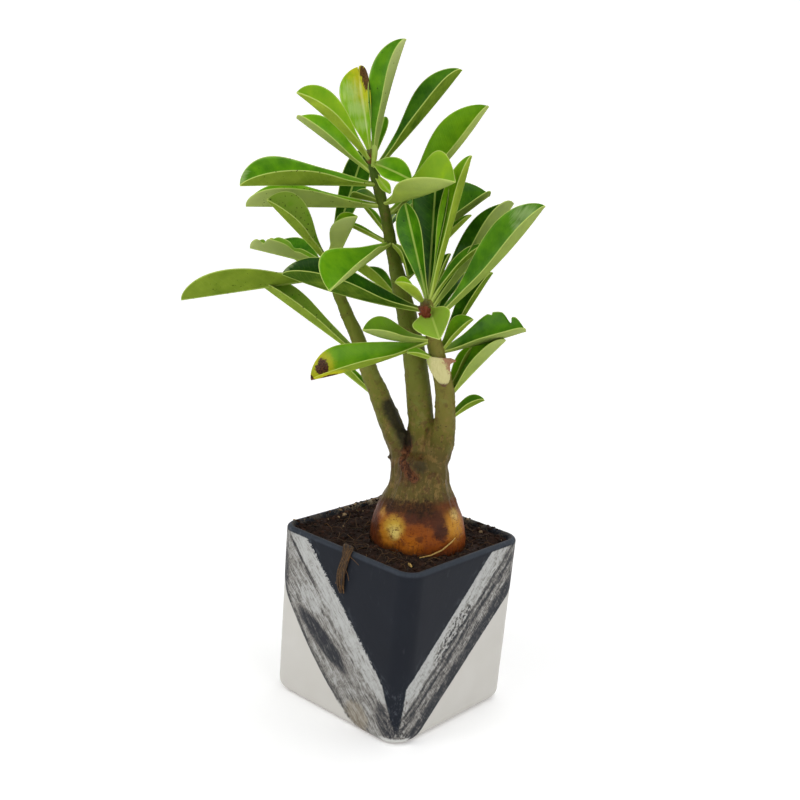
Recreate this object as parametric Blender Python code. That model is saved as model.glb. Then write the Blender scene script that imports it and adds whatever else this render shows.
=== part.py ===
"""A young desert rose (adenium) in a square ceramic pot, as separate closed solids.

Metres, +Z up.  The origin is the middle of the pot's underside, and the pot's sides face
along X and Y.  The plant is one swollen caudex that forks into three leafy stems, and it
stands in a pit in the potting soil.
"""
import math
import random

import bmesh
import bpy
from mathutils import Matrix, Vector, noise

for old in list(bpy.data.objects):
    bpy.data.objects.remove(old)

MM = 0.001                       # the lists below are written in millimetres

# Driving dimensions
POT_HALF = 46.0                  # half the pot's widest side, below its lip
POT_HEIGHT = 93.0
POT_WALL = 4.0
POT_FLOOR = 6.0
POT_CORNER = 10.0                # radius of the upright corners
DRAIN_RADIUS = 3.5
DRAIN_CIRCLE = 16.0              # the drain holes' distance from the middle
DRAIN_HOLES = 3
SOIL_DROP = 5.5                  # from the rim down to the soil beside the wall
SEAT_GAP = 0.35                  # air left between pieces that touch
BLADE_THICKNESS = 0.8
BLADE_WAVE = 0.035               # how far the margin ripples, as a share of the blade's width
BLADE_WIDEST = 0.72              # where the blade is widest, as a share of its length
PETIOLE_HALF_WIDTH = 1.3
TIP_HALF_WIDTH = 0.5
STUB_END = 153.0                 # height at which the bare stubs pass into the leafy stems
SEED = 7

RING_STEPS = 32                  # points round the pot, the soil and the caudex
STUB_STEPS = 12                  # points round a stub
STEM_STEPS = 9                   # points round a leafy stem
CAUDEX_SPACING = 4.5             # height between the rings of the caudex and of its pit
STEM_SPACING = 9.0
STUB_SPACING = 6.0

# Each stem's centreline, from inside the caudex's neck: x, y, height, radius
STEMS = {
    "tall": [(4, 5, 118, 8.0), (4, 5, 130, 7.8), (3.5, 4.5, 143, 7.3), (2.8, 3.6, 153, 6.9),
             (-2, 1, 182, 6.1), (-7, -2, 204, 5.2), (-12, -5, 222, 4.4), (-16, -7, 236, 3.3),
             (-21, -10, 256, 2.9), (-27, -14, 276, 2.6), (-29, -15, 283, 1.9)],
    "left": [(2, 5, 118, 7.0), (-3, 1.5, 131, 6.8), (-9, -2, 143, 6.4), (-14, -4.5, 154, 5.9),
             (-19, -7, 165, 5.2), (-24, -10, 176, 4.5), (-31, -13, 192, 3.8),
             (-40, -18, 211, 3.2), (-47, -21, 229, 2.6), (-48, -22, 235, 1.8)],
    "right": [(5, 6, 118, 7.0), (10.5, 8, 131, 6.6), (14.8, 8.5, 145, 6.0), (16, 6, 163, 5.3),
              (16, 3, 175, 4.8), (13, -3, 195, 4.0), (12, -9, 212, 3.1), (11, -10, 219, 2.1)],
}

# Each leaf: height of its root on the stem, compass (degrees about +Z from +X), rise above
# level, length, width if laid flat, roll about the keel, droop along the keel, and how far
# each half is folded up from flat.  Lengths in millimetres, angles in degrees.
LEAVES = {
    "tall": [
        (281, 69, 78, 62, 24, 1, 11, 45), (283, 158, 62, 50, 23, -59, 0, 38),
        (282, -95, 31, 58, 21, -46, 12, 45), (276, -172, 25, 56, 20, -5, 0, 40),
        (271, -111, -3, 72, 29, -14, 3, 45), (261, -141, -5, 69, 28, -3, 0, 45),
        (278, 56, 52, 66, 24, 10, -7, 45), (281, 121, 45, 32, 9, 6, 0, 45),
        (281, -12, -9, 34, 15, 59, 27, 40), (276, -7, -32, 15, 6, 48, 0, 40),
        (262, -4, 18, 50, 39, 30, -14, 45), (256, 75, 45, 82, 30, 4, -24, 45),
        (232, 74, 34, 66, 38, -1, 0, 45), (222, 79, 40, 56, 10, -12, 0, 45),
        (242, -162, 16, 28, 5, -5, 0, 45), (246, -179, 34, 22, 6, 7, 0, 45),
        (263, -170, 1, 18, 11, -11, 0, 45), (243, -14, -40, 23, 13, -11, 41, 45),
        (243, -72, -15, 68, 31, 4, 0, 45), (215, 174, 15, 38, 17, 14, 0, 45),
        (258, 100, -5, 55, 24, 0, 8, 42), (250, 128, 2, 56, 26, 0, 8, 42),
    ],
    "left": [
        (223, -127, -12, 78, 31, 4, 0, 45), (182, -142, 31, 68, 19, -13, 0, 45),
        (229, -89, 35, 56, 25, -53, 0, 45), (228, -158, 5, 46, 21, 2, 0, 45),
        (231, 108, 59, 64, 18, 28, 0, 40), (227, -20, 49, 38, 19, 53, 0, 65),
        (161, -169, 24, 34, 10, 13, 0, 45), (222, 150, -10, 50, 22, 0, 8, 42),
        (217, 175, 14, 58, 24, 0, 10, 42),
    ],
    "right": [
        (208, 39, 51, 79, 29, 23, -20, 45), (213, 85, 44, 76, 28, -27, -9, 45),
        (216, 67, 46, 43, 10, 2, 32, 45), (217, 133, 68, 75, 23, -25, 0, 35),
        (218, 179, 66, 50, 15, -67, 0, 35), (213, -135, 10, 74, 31, -13, -15, 45),
        (199, -117, -18, 66, 27, -18, -16, 45), (199, -112, 7, 40, 20, -20, -34, 45),
        (192, -104, 8, 20, 7, -21, 0, 45), (214, -38, -19, 32, 23, 31, 0, 35),
        (216, -103, 30, 24, 12, -18, 0, 45), (216, 95, 59, 29, 9, -22, 0, 45),
        (213, 96, 35, 46, 14, -11, 0, 45), (218, 80, 75, 74, 18, -16, -3, 45),
        (192, 60, 14, 49, 28, 15, -10, 45), (190, 86, 49, 54, 17, -14, 0, 45),
        (167, 48, 50, 43, 22, 4, 5, 45), (156, 47, 24, 24, 10, 9, 16, 45),
        (191, 48, 49, 25, 15, 19, 0, 45), (170, 85, 50, 31, 13, -24, 0, 45),
        (205, 120, 22, 54, 24, 0, 8, 42),
    ],
}


# Shared shapes

def make_material(name, colour, roughness, metallic=0.0):
    material = bpy.data.materials.new(name)
    material.use_nodes = True
    shader = material.node_tree.nodes["Principled BSDF"]
    shader.inputs["Base Color"].default_value = (*colour, 1.0)
    shader.inputs["Roughness"].default_value = roughness
    shader.inputs["Metallic"].default_value = metallic
    return material


def make_object(name, vertices, faces, material=None, collection=None):
    mesh = bpy.data.meshes.new(name)
    mesh.from_pydata(vertices, [], faces)
    mesh.validate()
    if material:
        mesh.materials.append(material)
    made = bpy.data.objects.new(name, mesh)
    (collection or bpy.context.scene.collection).objects.link(made)
    return made


def skin_rings(rings, closed_ends=True):
    """Vertices and faces of a skin over rings of the same number of points."""
    count = len(rings[0])
    vertices = [point for ring in rings for point in ring]
    faces = []
    for row in range(len(rings) - 1):
        for step in range(count):
            after = (step + 1) % count
            faces.append((row * count + step, row * count + after,
                          (row + 1) * count + after, (row + 1) * count + step))
    if closed_ends:
        faces.append(tuple(reversed(range(count))))
        faces.append(tuple((len(rings) - 1) * count + step for step in range(count)))
    return vertices, faces


def rounded_square(half, corner, height, steps=RING_STEPS):
    """Points evenly spread round a square with rounded corners, at one height."""
    straight = half - corner
    side_points = steps // 4
    points = []
    for quarter in range(4):
        turn = Matrix.Rotation(quarter * math.pi / 2, 3, "Z")
        for step in range(side_points):
            along = step / side_points * 2 - 1
            # A fan from the middle of one corner to the middle of the next
            bow = math.copysign(max(0.0, abs(along) - 0.5) * 2, along)
            angle = bow * math.pi / 4
            x = half - corner + corner * math.cos(angle)
            y = straight * max(-1.0, min(1.0, along * 2)) + corner * math.sin(angle)
            points.append(turn @ Vector((x, y, height)))
    return points


def smooth_route(controls, spacing):
    """Positions and radii along a smooth curve through (x, y, z, radius) controls."""
    padded = [controls[0], *controls, controls[-1]]
    route = []
    for first, start, end, last in zip(padded, padded[1:], padded[2:], padded[3:]):
        reach = math.dist(start[:3], end[:3])
        if not reach:
            continue
        pieces = max(1, round(reach / spacing))
        for piece in range(pieces):
            s = piece / pieces
            route.append([0.5 * (2 * b + (c - a) * s + (2 * a - 5 * b + 4 * c - d) * s ** 2
                                 + (3 * b - a - 3 * c + d) * s ** 3)
                          for a, b, c, d in zip(first, start, end, last)])
    route.append(list(controls[-1]))
    return route


def route_between(route, low, high):
    """The part of a rising route between two heights, with its ends cut at them."""
    def cut(height):
        for below, above in zip(route, route[1:]):
            if below[2] <= height <= above[2]:
                share = (height - below[2]) / (above[2] - below[2])
                return [a + (b - a) * share for a, b in zip(below, above)]
        raise ValueError("height is off the route")
    inside = [point for point in route if low + 1 < point[2] < high - 1]
    start = cut(low) if low > route[0][2] else route[0]
    end = cut(high) if high < route[-1][2] else route[-1]
    return [start, *[p for p in inside if p is not start and p is not end], end]


def tube_rings(route, steps, level_ends):
    """Rings round a route; the ends named in level_ends are cut level."""
    rings = []
    for index, (x, y, z, radius) in enumerate(route):
        before = Vector(route[max(0, index - 1)][:3])
        after = Vector(route[min(len(route) - 1, index + 1)][:3])
        along = (after - before).normalized()
        level = (index == 0 and "low" in level_ends) or \
                (index == len(route) - 1 and "high" in level_ends)
        side = Vector((1, 0, 0)) if level else Vector((0, 1, 0)).cross(along).normalized()
        other = Vector((0, 1, 0)) if level else along.cross(side)
        centre = Vector((x, y, z))
        rings.append([centre + radius * (math.cos(turn) * side + math.sin(turn) * other)
                      for turn in (2 * math.pi * k / steps for k in range(steps))])
    return rings


def unite(base, collection):
    """Join everything in the collection to the base, then remove what was joined."""
    union = base.modifiers.new("Union", "BOOLEAN")
    union.operation = "UNION"
    union.operand_type = "COLLECTION"
    union.collection = collection
    union.solver = "EXACT"
    bpy.context.view_layer.update()
    graph = bpy.context.evaluated_depsgraph_get()
    joined = bpy.data.meshes.new_from_object(base.evaluated_get(graph), depsgraph=graph)
    base.modifiers.clear()
    base.data = joined
    for spare in list(collection.objects):
        bpy.data.objects.remove(spare)
    bpy.data.collections.remove(collection)
    tidy = bmesh.new()
    tidy.from_mesh(joined)
    bmesh.ops.dissolve_degenerate(tidy, dist=0.00001, edges=tidy.edges)
    bmesh.ops.triangulate(tidy, faces=tidy.faces)
    tidy.to_mesh(joined)
    tidy.free()


def spare_collection(name):
    collection = bpy.data.collections.new(name)
    bpy.context.scene.collection.children.link(collection)
    return collection


# Pot: a slip-cast square pot with rounded corners, a soft lip and a rounded foot

def pot_outline():
    """Half side, corner radius and height up the outside, over the lip and down inside."""
    top = POT_HEIGHT
    outside = [(POT_HALF - 3.8, POT_CORNER + 1, 0.0), (POT_HALF - 2.2, POT_CORNER + 1, 0.7),
               (POT_HALF - 1.2, POT_CORNER + 1, 3.0), (POT_HALF - 0.8, POT_CORNER, 10.0),
               (POT_HALF - 0.5, POT_CORNER, 45.0), (POT_HALF - 0.1, POT_CORNER, 75.0),
               (POT_HALF, POT_CORNER, top - 3.5)]
    lip_half = POT_HALF - POT_WALL / 2
    lip = [(lip_half + POT_WALL / 2 * math.cos(turn), POT_CORNER - 2 + 2 * math.cos(turn),
            top - 2 + 2 * math.sin(turn)) for turn in (0.5, 1.1, math.pi / 2, 2.1, 2.7)]
    inside = [(POT_HALF - POT_WALL, POT_CORNER - POT_WALL, top - 4.0),
              (POT_HALF - POT_WALL - 0.5, POT_CORNER - POT_WALL, 45.0),
              (POT_HALF - POT_WALL - 1.5, POT_CORNER - POT_WALL + 1, POT_FLOOR + 4.0),
              (POT_HALF - POT_WALL - 4.5, POT_CORNER - POT_WALL + 2, POT_FLOOR)]
    return outside, lip, inside


def make_pot():
    outside, lip, inside = pot_outline()
    rings = [[point * MM for point in rounded_square(*station)]
             for station in outside + lip + inside]
    glaze = make_material("painted_ceramic", (0.030, 0.038, 0.050), 0.5)
    pot = make_object("pot", *skin_rings(rings), glaze)
    drains = bmesh.new()
    for hole in range(DRAIN_HOLES):
        turn = 2 * math.pi * (hole + 0.5) / DRAIN_HOLES
        place = Matrix.Translation(Vector((math.cos(turn), math.sin(turn), 0))
                                   * DRAIN_CIRCLE * MM)
        bmesh.ops.create_cone(drains, cap_ends=True, segments=20, matrix=place,
                              radius1=DRAIN_RADIUS * MM, radius2=DRAIN_RADIUS * MM,
                              depth=POT_FLOOR * 3 * MM)
    cutter_mesh = bpy.data.meshes.new("drain_cutter")
    drains.to_mesh(cutter_mesh)
    drains.free()
    cutter = bpy.data.objects.new("drain_cutter", cutter_mesh)
    bpy.context.scene.collection.objects.link(cutter)
    cutter.hide_render = True
    cutter.display_type = "WIRE"
    cut = pot.modifiers.new("Drain holes", "BOOLEAN")
    cut.operation = "DIFFERENCE"
    cut.object = cutter
    cut.solver = "EXACT"
    pot.data.shade_smooth()
    pot.data.set_sharp_from_angle(angle=math.radians(35))


# Caudex: the swollen base, with a narrow ridged neck that forks into three stubs

CAUDEX = [  # x, y, height, radius
    (5.6, 7.3, 51.0, 2.0), (5.6, 7.3, 56.0, 6.5), (5.6, 7.3, 63.0, 12.5),
    (5.6, 7.3, 71.0, 18.5), (5.6, 7.3, 79.0, 23.0), (5.5, 7.3, 87.0, 24.8),
    (5.2, 7.0, 94.0, 24.6), (5.0, 6.8, 100.0, 23.6), (4.9, 6.7, 105.0, 22.0),
    (4.7, 6.6, 111.0, 19.3), (4.5, 6.5, 115.0, 17.4), (4.3, 6.3, 121.0, 15.4),
    (3.9, 5.9, 127.0, 14.6), (3.5, 5.5, 132.0, 14.0), (3.0, 5.0, 136.0, 11.5),
    (3.0, 5.0, 139.0, 6.0),
]


def caudex_swell(turn, height):
    """Low ridges and hollows of the bulb, and bark folds that deepen up the neck."""
    lobes = 0.018 * math.sin(2 * turn + 0.6) + 0.022 * math.sin(3 * turn + 2.0)
    buried = max(0.0, min(1.0, (height - 70) / 15))
    neck = max(0.0, min(1.0, (height - 104) / 18))
    folds = 0.040 * math.sin(5 * turn + 0.9) + 0.025 * math.sin(8 * turn + 2.2)
    return 1 + buried * lobes + neck * folds


def caudex_ring(x, y, z, radius):
    """One ring of the caudex; its first point faces the corner where soil rings start."""
    ring = []
    for step in range(RING_STEPS):
        turn = 2 * math.pi * step / RING_STEPS - math.pi / 4
        reach = radius * caudex_swell(turn, z)
        ring.append(Vector((x + reach * math.cos(turn), y + reach * math.sin(turn), z)))
    return ring


def make_caudex(bark):
    rings = [[point * MM for point in caudex_ring(*station)]
             for station in smooth_route(CAUDEX, CAUDEX_SPACING)]
    caudex = make_object("caudex", *skin_rings(rings), bark)
    stubs = spare_collection("stubs")
    for name, controls in STEMS.items():
        stub = route_between(smooth_route(controls, STUB_SPACING), controls[0][2],
                             STUB_END - SEAT_GAP / 2)
        rings = [[point * MM for point in ring]
                 for ring in tube_rings(stub, STUB_STEPS, ("high",))]
        make_object(name + "_stub", *skin_rings(rings), bark, stubs)
    unite(caudex, stubs)
    return caudex


# Soil: a block of dark compost that fills the pot, with a pit the caudex stands in

def make_soil():
    _, _, inside = pot_outline()
    top = POT_HEIGHT - SOIL_DROP
    wall = [(half - SEAT_GAP, corner, height) for half, corner, height in reversed(inside)]
    wall[0] = (wall[0][0], wall[0][1], POT_FLOOR + SEAT_GAP)
    wall[-1] = (wall[-1][0], wall[-1][1], top)
    rings = [rounded_square(*station) for station in wall]
    # The pit is the caudex's own skin, moved out and down by the seat gap
    pit = pit_rings(top)
    mouth = pit[0]
    border = rings[-1]
    for share in (0.12, 0.3, 0.5, 0.7, 0.87):
        ring = []
        for edge, inner in zip(border, mouth):
            point = edge.lerp(inner, share)
            bump = noise.noise(Vector((point.x, point.y, 4.0)) * 0.11)
            grain = noise.noise(Vector((point.x, point.y, 9.0)) * 0.31)
            point.z = top + 1.6 * bump + 1.0 * grain + 1.2 * math.sin(math.pi * share)
            ring.append(point)
        rings.append(ring)
    rings.extend(pit)
    vertices, faces = skin_rings([[point * MM for point in ring] for ring in rings])
    make_object("soil", vertices, faces, make_material("soil", (0.022, 0.013, 0.008), 0.95))


def pit_rings(top):
    """The pit's rings from its mouth down: the caudex's skin with the seat gap added."""
    route = smooth_route(CAUDEX, CAUDEX_SPACING)
    buried = route_between(route, route[0][2], top)
    rings = []
    for x, y, z, radius in reversed(buried):
        drop = 0.0 if z == top else SEAT_GAP * 0.7
        ring = caudex_ring(x, y, z, radius)
        centre = Vector((x, y, z))
        rings.append([point + (point - centre).normalized() * SEAT_GAP
                      - Vector((0, 0, drop)) for point in ring])
    return rings


# Leafy stems

def blade_half_width(share, width):
    """Half the width of a spoon-shaped blade, at a share of its length from the root."""
    skew = math.log(0.5) / math.log(BLADE_WIDEST)
    swell = math.sin(math.pi * share ** skew) ** 0.6 if 0 < share < 1 else 0.0
    core = PETIOLE_HALF_WIDTH * (1 - share) + TIP_HALF_WIDTH * share
    return math.hypot(width / 2 * swell, core)


BLADE_STATIONS = (0.0, 0.12, 0.26, 0.40, 0.54, 0.67, 0.79, 0.89, 0.96, 1.0)


def blade_arc(share, length, droop):
    """Where the keel is at a share of its length: distance out, lift, and its lean."""
    lean = droop * (0.5 - share)
    if not droop:
        return length * share, 0.0, lean
    radius = length / droop
    return (radius * (math.sin(droop / 2) - math.sin(lean)),
            radius * (math.cos(lean) - math.cos(droop / 2)), lean)


def make_blade(name, root, leaf, collection, rng):
    """One keeled blade: two halves folded up along the rib, with a wavy margin."""
    _, compass, rise, length, width, roll, droop, fold = leaf
    fold = math.radians(fold)
    droop = math.radians(droop)
    phase = rng.uniform(0, 2 * math.pi)
    upper, lower = [], []
    for share in BLADE_STATIONS:
        out, lift, lean = blade_arc(share, length, droop)
        up = Vector((-math.sin(lean), 0, math.cos(lean)))
        centre = Vector((out, 0, lift))
        half = blade_half_width(share, width)
        fade = min(1.0, 3 * share) * (1 - share)
        wave = BLADE_WAVE * width * fade * math.sin(9 * share + phase)
        depth = up * (BLADE_THICKNESS / math.cos(fold))
        for side, ripple in ((1, wave), (0, 0.0), (-1, -wave)):
            across = Vector((0, side * half * math.cos(fold), 0))
            raised = up * (half * math.sin(fold) * abs(side) + ripple)
            upper.append(centre + across + raised)
            lower.append(centre + across + raised - depth)
    stations = len(BLADE_STATIONS)
    low = 3 * stations
    faces = []
    for row in range(stations - 1):
        a, b = 3 * row, 3 * row + 3
        for left, right in ((0, 1), (1, 2)):
            quad = (a + left, a + right, b + right, b + left)
            halves = ((0, 1, 2), (0, 2, 3)) if left else ((0, 1, 3), (1, 2, 3))
            for corners in halves:
                above = [quad[corner] for corner in corners]
                faces.append(tuple(above[::-1]))
                faces.append(tuple(low + corner for corner in above))
        faces.append((a, low + a, low + b, b))
        faces.append((a + 2, b + 2, low + b + 2, low + a + 2))
    last = low - 3
    faces.append((0, 1, low + 1, low))
    faces.append((1, 2, low + 2, low + 1))
    faces.append((last, low + last, low + last + 1, last + 1))
    faces.append((last + 1, low + last + 1, low + last + 2, last + 2))
    place = Matrix.Translation(root) \
        @ Matrix.Rotation(math.radians(compass), 4, "Z") \
        @ Matrix.Rotation(-math.radians(rise), 4, "Y") \
        @ Matrix.Rotation(math.radians(roll), 4, "X")
    vertices = [(place @ point) * MM for point in upper + lower]
    blade = make_object(name, vertices, faces, None, collection)
    tidy = bmesh.new()
    tidy.from_mesh(blade.data)
    bmesh.ops.recalc_face_normals(tidy, faces=tidy.faces)
    tidy.to_mesh(blade.data)
    tidy.free()


def make_stem(name, material):
    rng = random.Random(SEED + len(name))
    route = smooth_route(STEMS[name], STEM_SPACING)
    upper = route_between(route, STUB_END + SEAT_GAP / 2, STEMS[name][-1][2])
    rings = [[point * MM for point in ring] for ring in tube_rings(upper, STEM_STEPS, ("low",))]
    stem = make_object("stem_" + name, *skin_rings(rings), material)
    foliage = spare_collection(name + "_foliage")
    fine = smooth_route(STEMS[name], 1.0)
    for number, leaf in enumerate(LEAVES[name]):
        root = min(fine, key=lambda point: abs(point[2] - leaf[0]))
        make_blade("%s_leaf_%02d" % (name, number), Vector(root[:3]), leaf, foliage, rng)
    unite(stem, foliage)
    return stem


# Dry and loose plant matter

STRAND_ROUTE = [  # x, how far outside the -Y wall, height above the rim, half width
    (-5.0, -9.5, -1.8, 1.3), (-2.0, -6.3, -0.2, 1.5), (1.5, -3.6, 1.2, 1.7),
    (3.5, -1.4, 1.2, 1.8), (4.2, 0.5, -0.1, 1.8), (4.1, 1.0, -2.7, 1.7),
    (3.4, 1.0, -7.0, 1.5), (2.6, 1.0, -13.0, 1.3), (2.2, 1.0, -19.0, 1.1),
    (2.2, 1.0, -22.5, 0.6),
]
STRAND_HALF_THICKNESS = 0.5


def make_coir_strand():
    """A flat strand of coconut fibre that has fallen over the rim."""
    rings = []
    for index, (x, outside, above, half_width) in enumerate(STRAND_ROUTE):
        before = Vector(STRAND_ROUTE[max(0, index - 1)][1:3])
        after = Vector(STRAND_ROUTE[min(len(STRAND_ROUTE) - 1, index + 1)][1:3])
        along = (after - before).normalized()
        across = Vector((half_width, 0, 0))
        out = Vector((0, along.y, along.x)) * STRAND_HALF_THICKNESS
        centre = Vector((x, -POT_HALF - outside, POT_HEIGHT + above))
        rings.append([(centre + corner) * MM for corner in
                      (-across - out, across - out, across + out, -across + out)])
    make_object("coir_strand", *skin_rings(rings), make_material("coir", (0.20, 0.11, 0.04), 0.9))


WITHERED_OUTLINE = [  # height, left edge, right edge, measured across the stem
    (175.6, -0.8, 0.8), (178.5, -3.0, 3.2), (182.0, -5.0, 4.6), (185.5, -5.8, 5.2),
    (187.4, -6.0, 6.0), (189.0, -5.6, 9.2), (190.4, -4.8, 6.6),
]
WITHERED_FACING = -49.7          # compass of the side of the stem that it clings to
WITHERED_THICKNESS = 0.9
WITHERED_BOW = 0.03              # how much its sides curl back, per millimetre of width
WITHERED_COLUMNS = 6


def make_withered_leaf():
    """A dry shield-shaped leaf base that clings to the right stem."""
    route = smooth_route(STEMS["right"], 1.0)
    out = Vector((math.cos(math.radians(WITHERED_FACING)),
                  math.sin(math.radians(WITHERED_FACING)), 0))
    across = Vector((-out.y, out.x, 0))
    rings = []
    for height, left, right in WITHERED_OUTLINE:
        x, y, _, radius = min(route, key=lambda point: abs(point[2] - height))
        ring = []
        for lift in (0.0, WITHERED_THICKNESS):
            row = []
            for column in range(WITHERED_COLUMNS + 1):
                reach = left + (right - left) * column / WITHERED_COLUMNS
                stand = radius + 1.5 * SEAT_GAP + lift - WITHERED_BOW * reach ** 2
                row.append((Vector((x, y, height)) + across * reach + out * stand) * MM)
            ring.extend(row if lift else reversed(row))
        rings.append(ring)
    make_object("withered_leaf", *skin_rings(rings),
                make_material("withered", (0.62, 0.56, 0.34), 0.8))


bark = make_material("bark", (0.36, 0.24, 0.09), 0.6)
leaf_green = make_material("leaf_green", (0.10, 0.24, 0.03), 0.35)
make_pot()
make_soil()
make_caudex(bark)
for stem_name in STEMS:
    make_stem(stem_name, leaf_green)
make_withered_leaf()
make_coir_strand()
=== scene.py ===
import math
import random

import bmesh
import bpy
from mathutils import Matrix, Vector, kdtree, noise
from mathutils.bvhtree import BVHTree


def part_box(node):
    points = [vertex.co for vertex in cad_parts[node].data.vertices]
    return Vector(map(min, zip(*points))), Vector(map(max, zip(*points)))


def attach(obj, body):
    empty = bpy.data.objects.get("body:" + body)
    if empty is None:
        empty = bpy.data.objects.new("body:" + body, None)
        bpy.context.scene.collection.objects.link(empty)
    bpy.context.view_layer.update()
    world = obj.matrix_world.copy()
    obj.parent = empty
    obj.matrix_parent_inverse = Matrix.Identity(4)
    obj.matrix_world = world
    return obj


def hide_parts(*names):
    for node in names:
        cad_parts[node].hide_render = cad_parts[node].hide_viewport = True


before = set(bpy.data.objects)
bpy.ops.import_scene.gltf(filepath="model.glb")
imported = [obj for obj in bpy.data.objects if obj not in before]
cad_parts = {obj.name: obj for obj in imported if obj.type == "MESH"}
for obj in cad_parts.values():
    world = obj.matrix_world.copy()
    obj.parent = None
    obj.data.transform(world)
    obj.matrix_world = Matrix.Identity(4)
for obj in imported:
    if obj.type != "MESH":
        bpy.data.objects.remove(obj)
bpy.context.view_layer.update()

# A young desert rose in a square painted pot, put together from the pot up. Lengths in each
# section are in millimetres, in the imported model's own frame, and become metres in the meshes.
MM = 0.001


# Pot
# A slip-cast square pot with rounded upright corners, a soft lip and a foot that draws in.
# It is glazed off-white, then masked and painted: slate above a V on each face, and a pale
# grey band dry-brushed with slate along the V. Three drain holes pierce its floor.

pot_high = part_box("pot")[1]
POT_HALF = pot_high.x / MM
POT_TOP = pot_high.z / MM
POT_WALL = 4.0
POT_FLOOR = 6.0
POT_CORNER = 10.0
POT_TAPER = 0.85                 # how much narrower each side is above the foot than at the lip
FOOT_HEIGHT = 6.0
FOOT_DRAW = 3.0                  # how far the foot draws in
POT_WOBBLE = 0.16                # unevenness of the cast wall
DRAIN_HOLES = 3
DRAIN_RADIUS = 3.5
DRAIN_CIRCLE = 16.0              # how far the holes are from the pot's middle
LIP_RADIUS = POT_WALL / 2
SHOULDER = POT_TOP - 3.5         # where the outside wall turns into the lip
FOOT_STEPS, WALL_STEPS, LIP_STEPS = 10, 32, 10
HOLLOW = [  # how far the wall and its corners draw in at each height, down the inside
    (0.0, 0.0, POT_TOP - 4.0), (0.2, 0.0, 75.0), (0.5, 0.0, 45.0),
    (1.5, 1.0, POT_FLOOR + 4.0), (4.5, 2.0, POT_FLOOR),
]
DIAGONAL = math.sqrt(0.5)        # slope of the brush strokes, both along and up
# How much slate the brush left at each share down the band, on the faces along Y and along X
STROKES_Y = [(0.0, 0.18), (0.25, 0.24), (0.33, 0.44), (0.6, 0.46), (0.90, 0.42), (0.965, 0.66),
             (1.0, 0.66)]
STROKES_X = [(0.0, 0.12), (0.24, 0.26), (0.34, 0.30), (0.39, 0.80), (0.45, 0.48), (0.55, 0.84),
             (0.62, 0.50), (0.74, 0.54), (0.82, 0.86), (1.0, 0.88)]
BLOTS_Y = [  # middle along and up a face, half sizes, tilt, raggedness, and the slate it adds
    ((55.5, 40.0), (22.0, 5.2), 33, 0.7, 0.42), ((9.0, 12.5), (11.0, 5.5), 62, 0.9, 0.30),
    ((88.0, 70.0), (14.0, 5.0), 80, 0.9, 0.32), ((65.0, 60.0), (9.0, 7.0), 40, 0.9, -0.16),
]
BLOT_X = ((39.0, 54.0), (19.0, 5.0), 45, 0.4)


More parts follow.
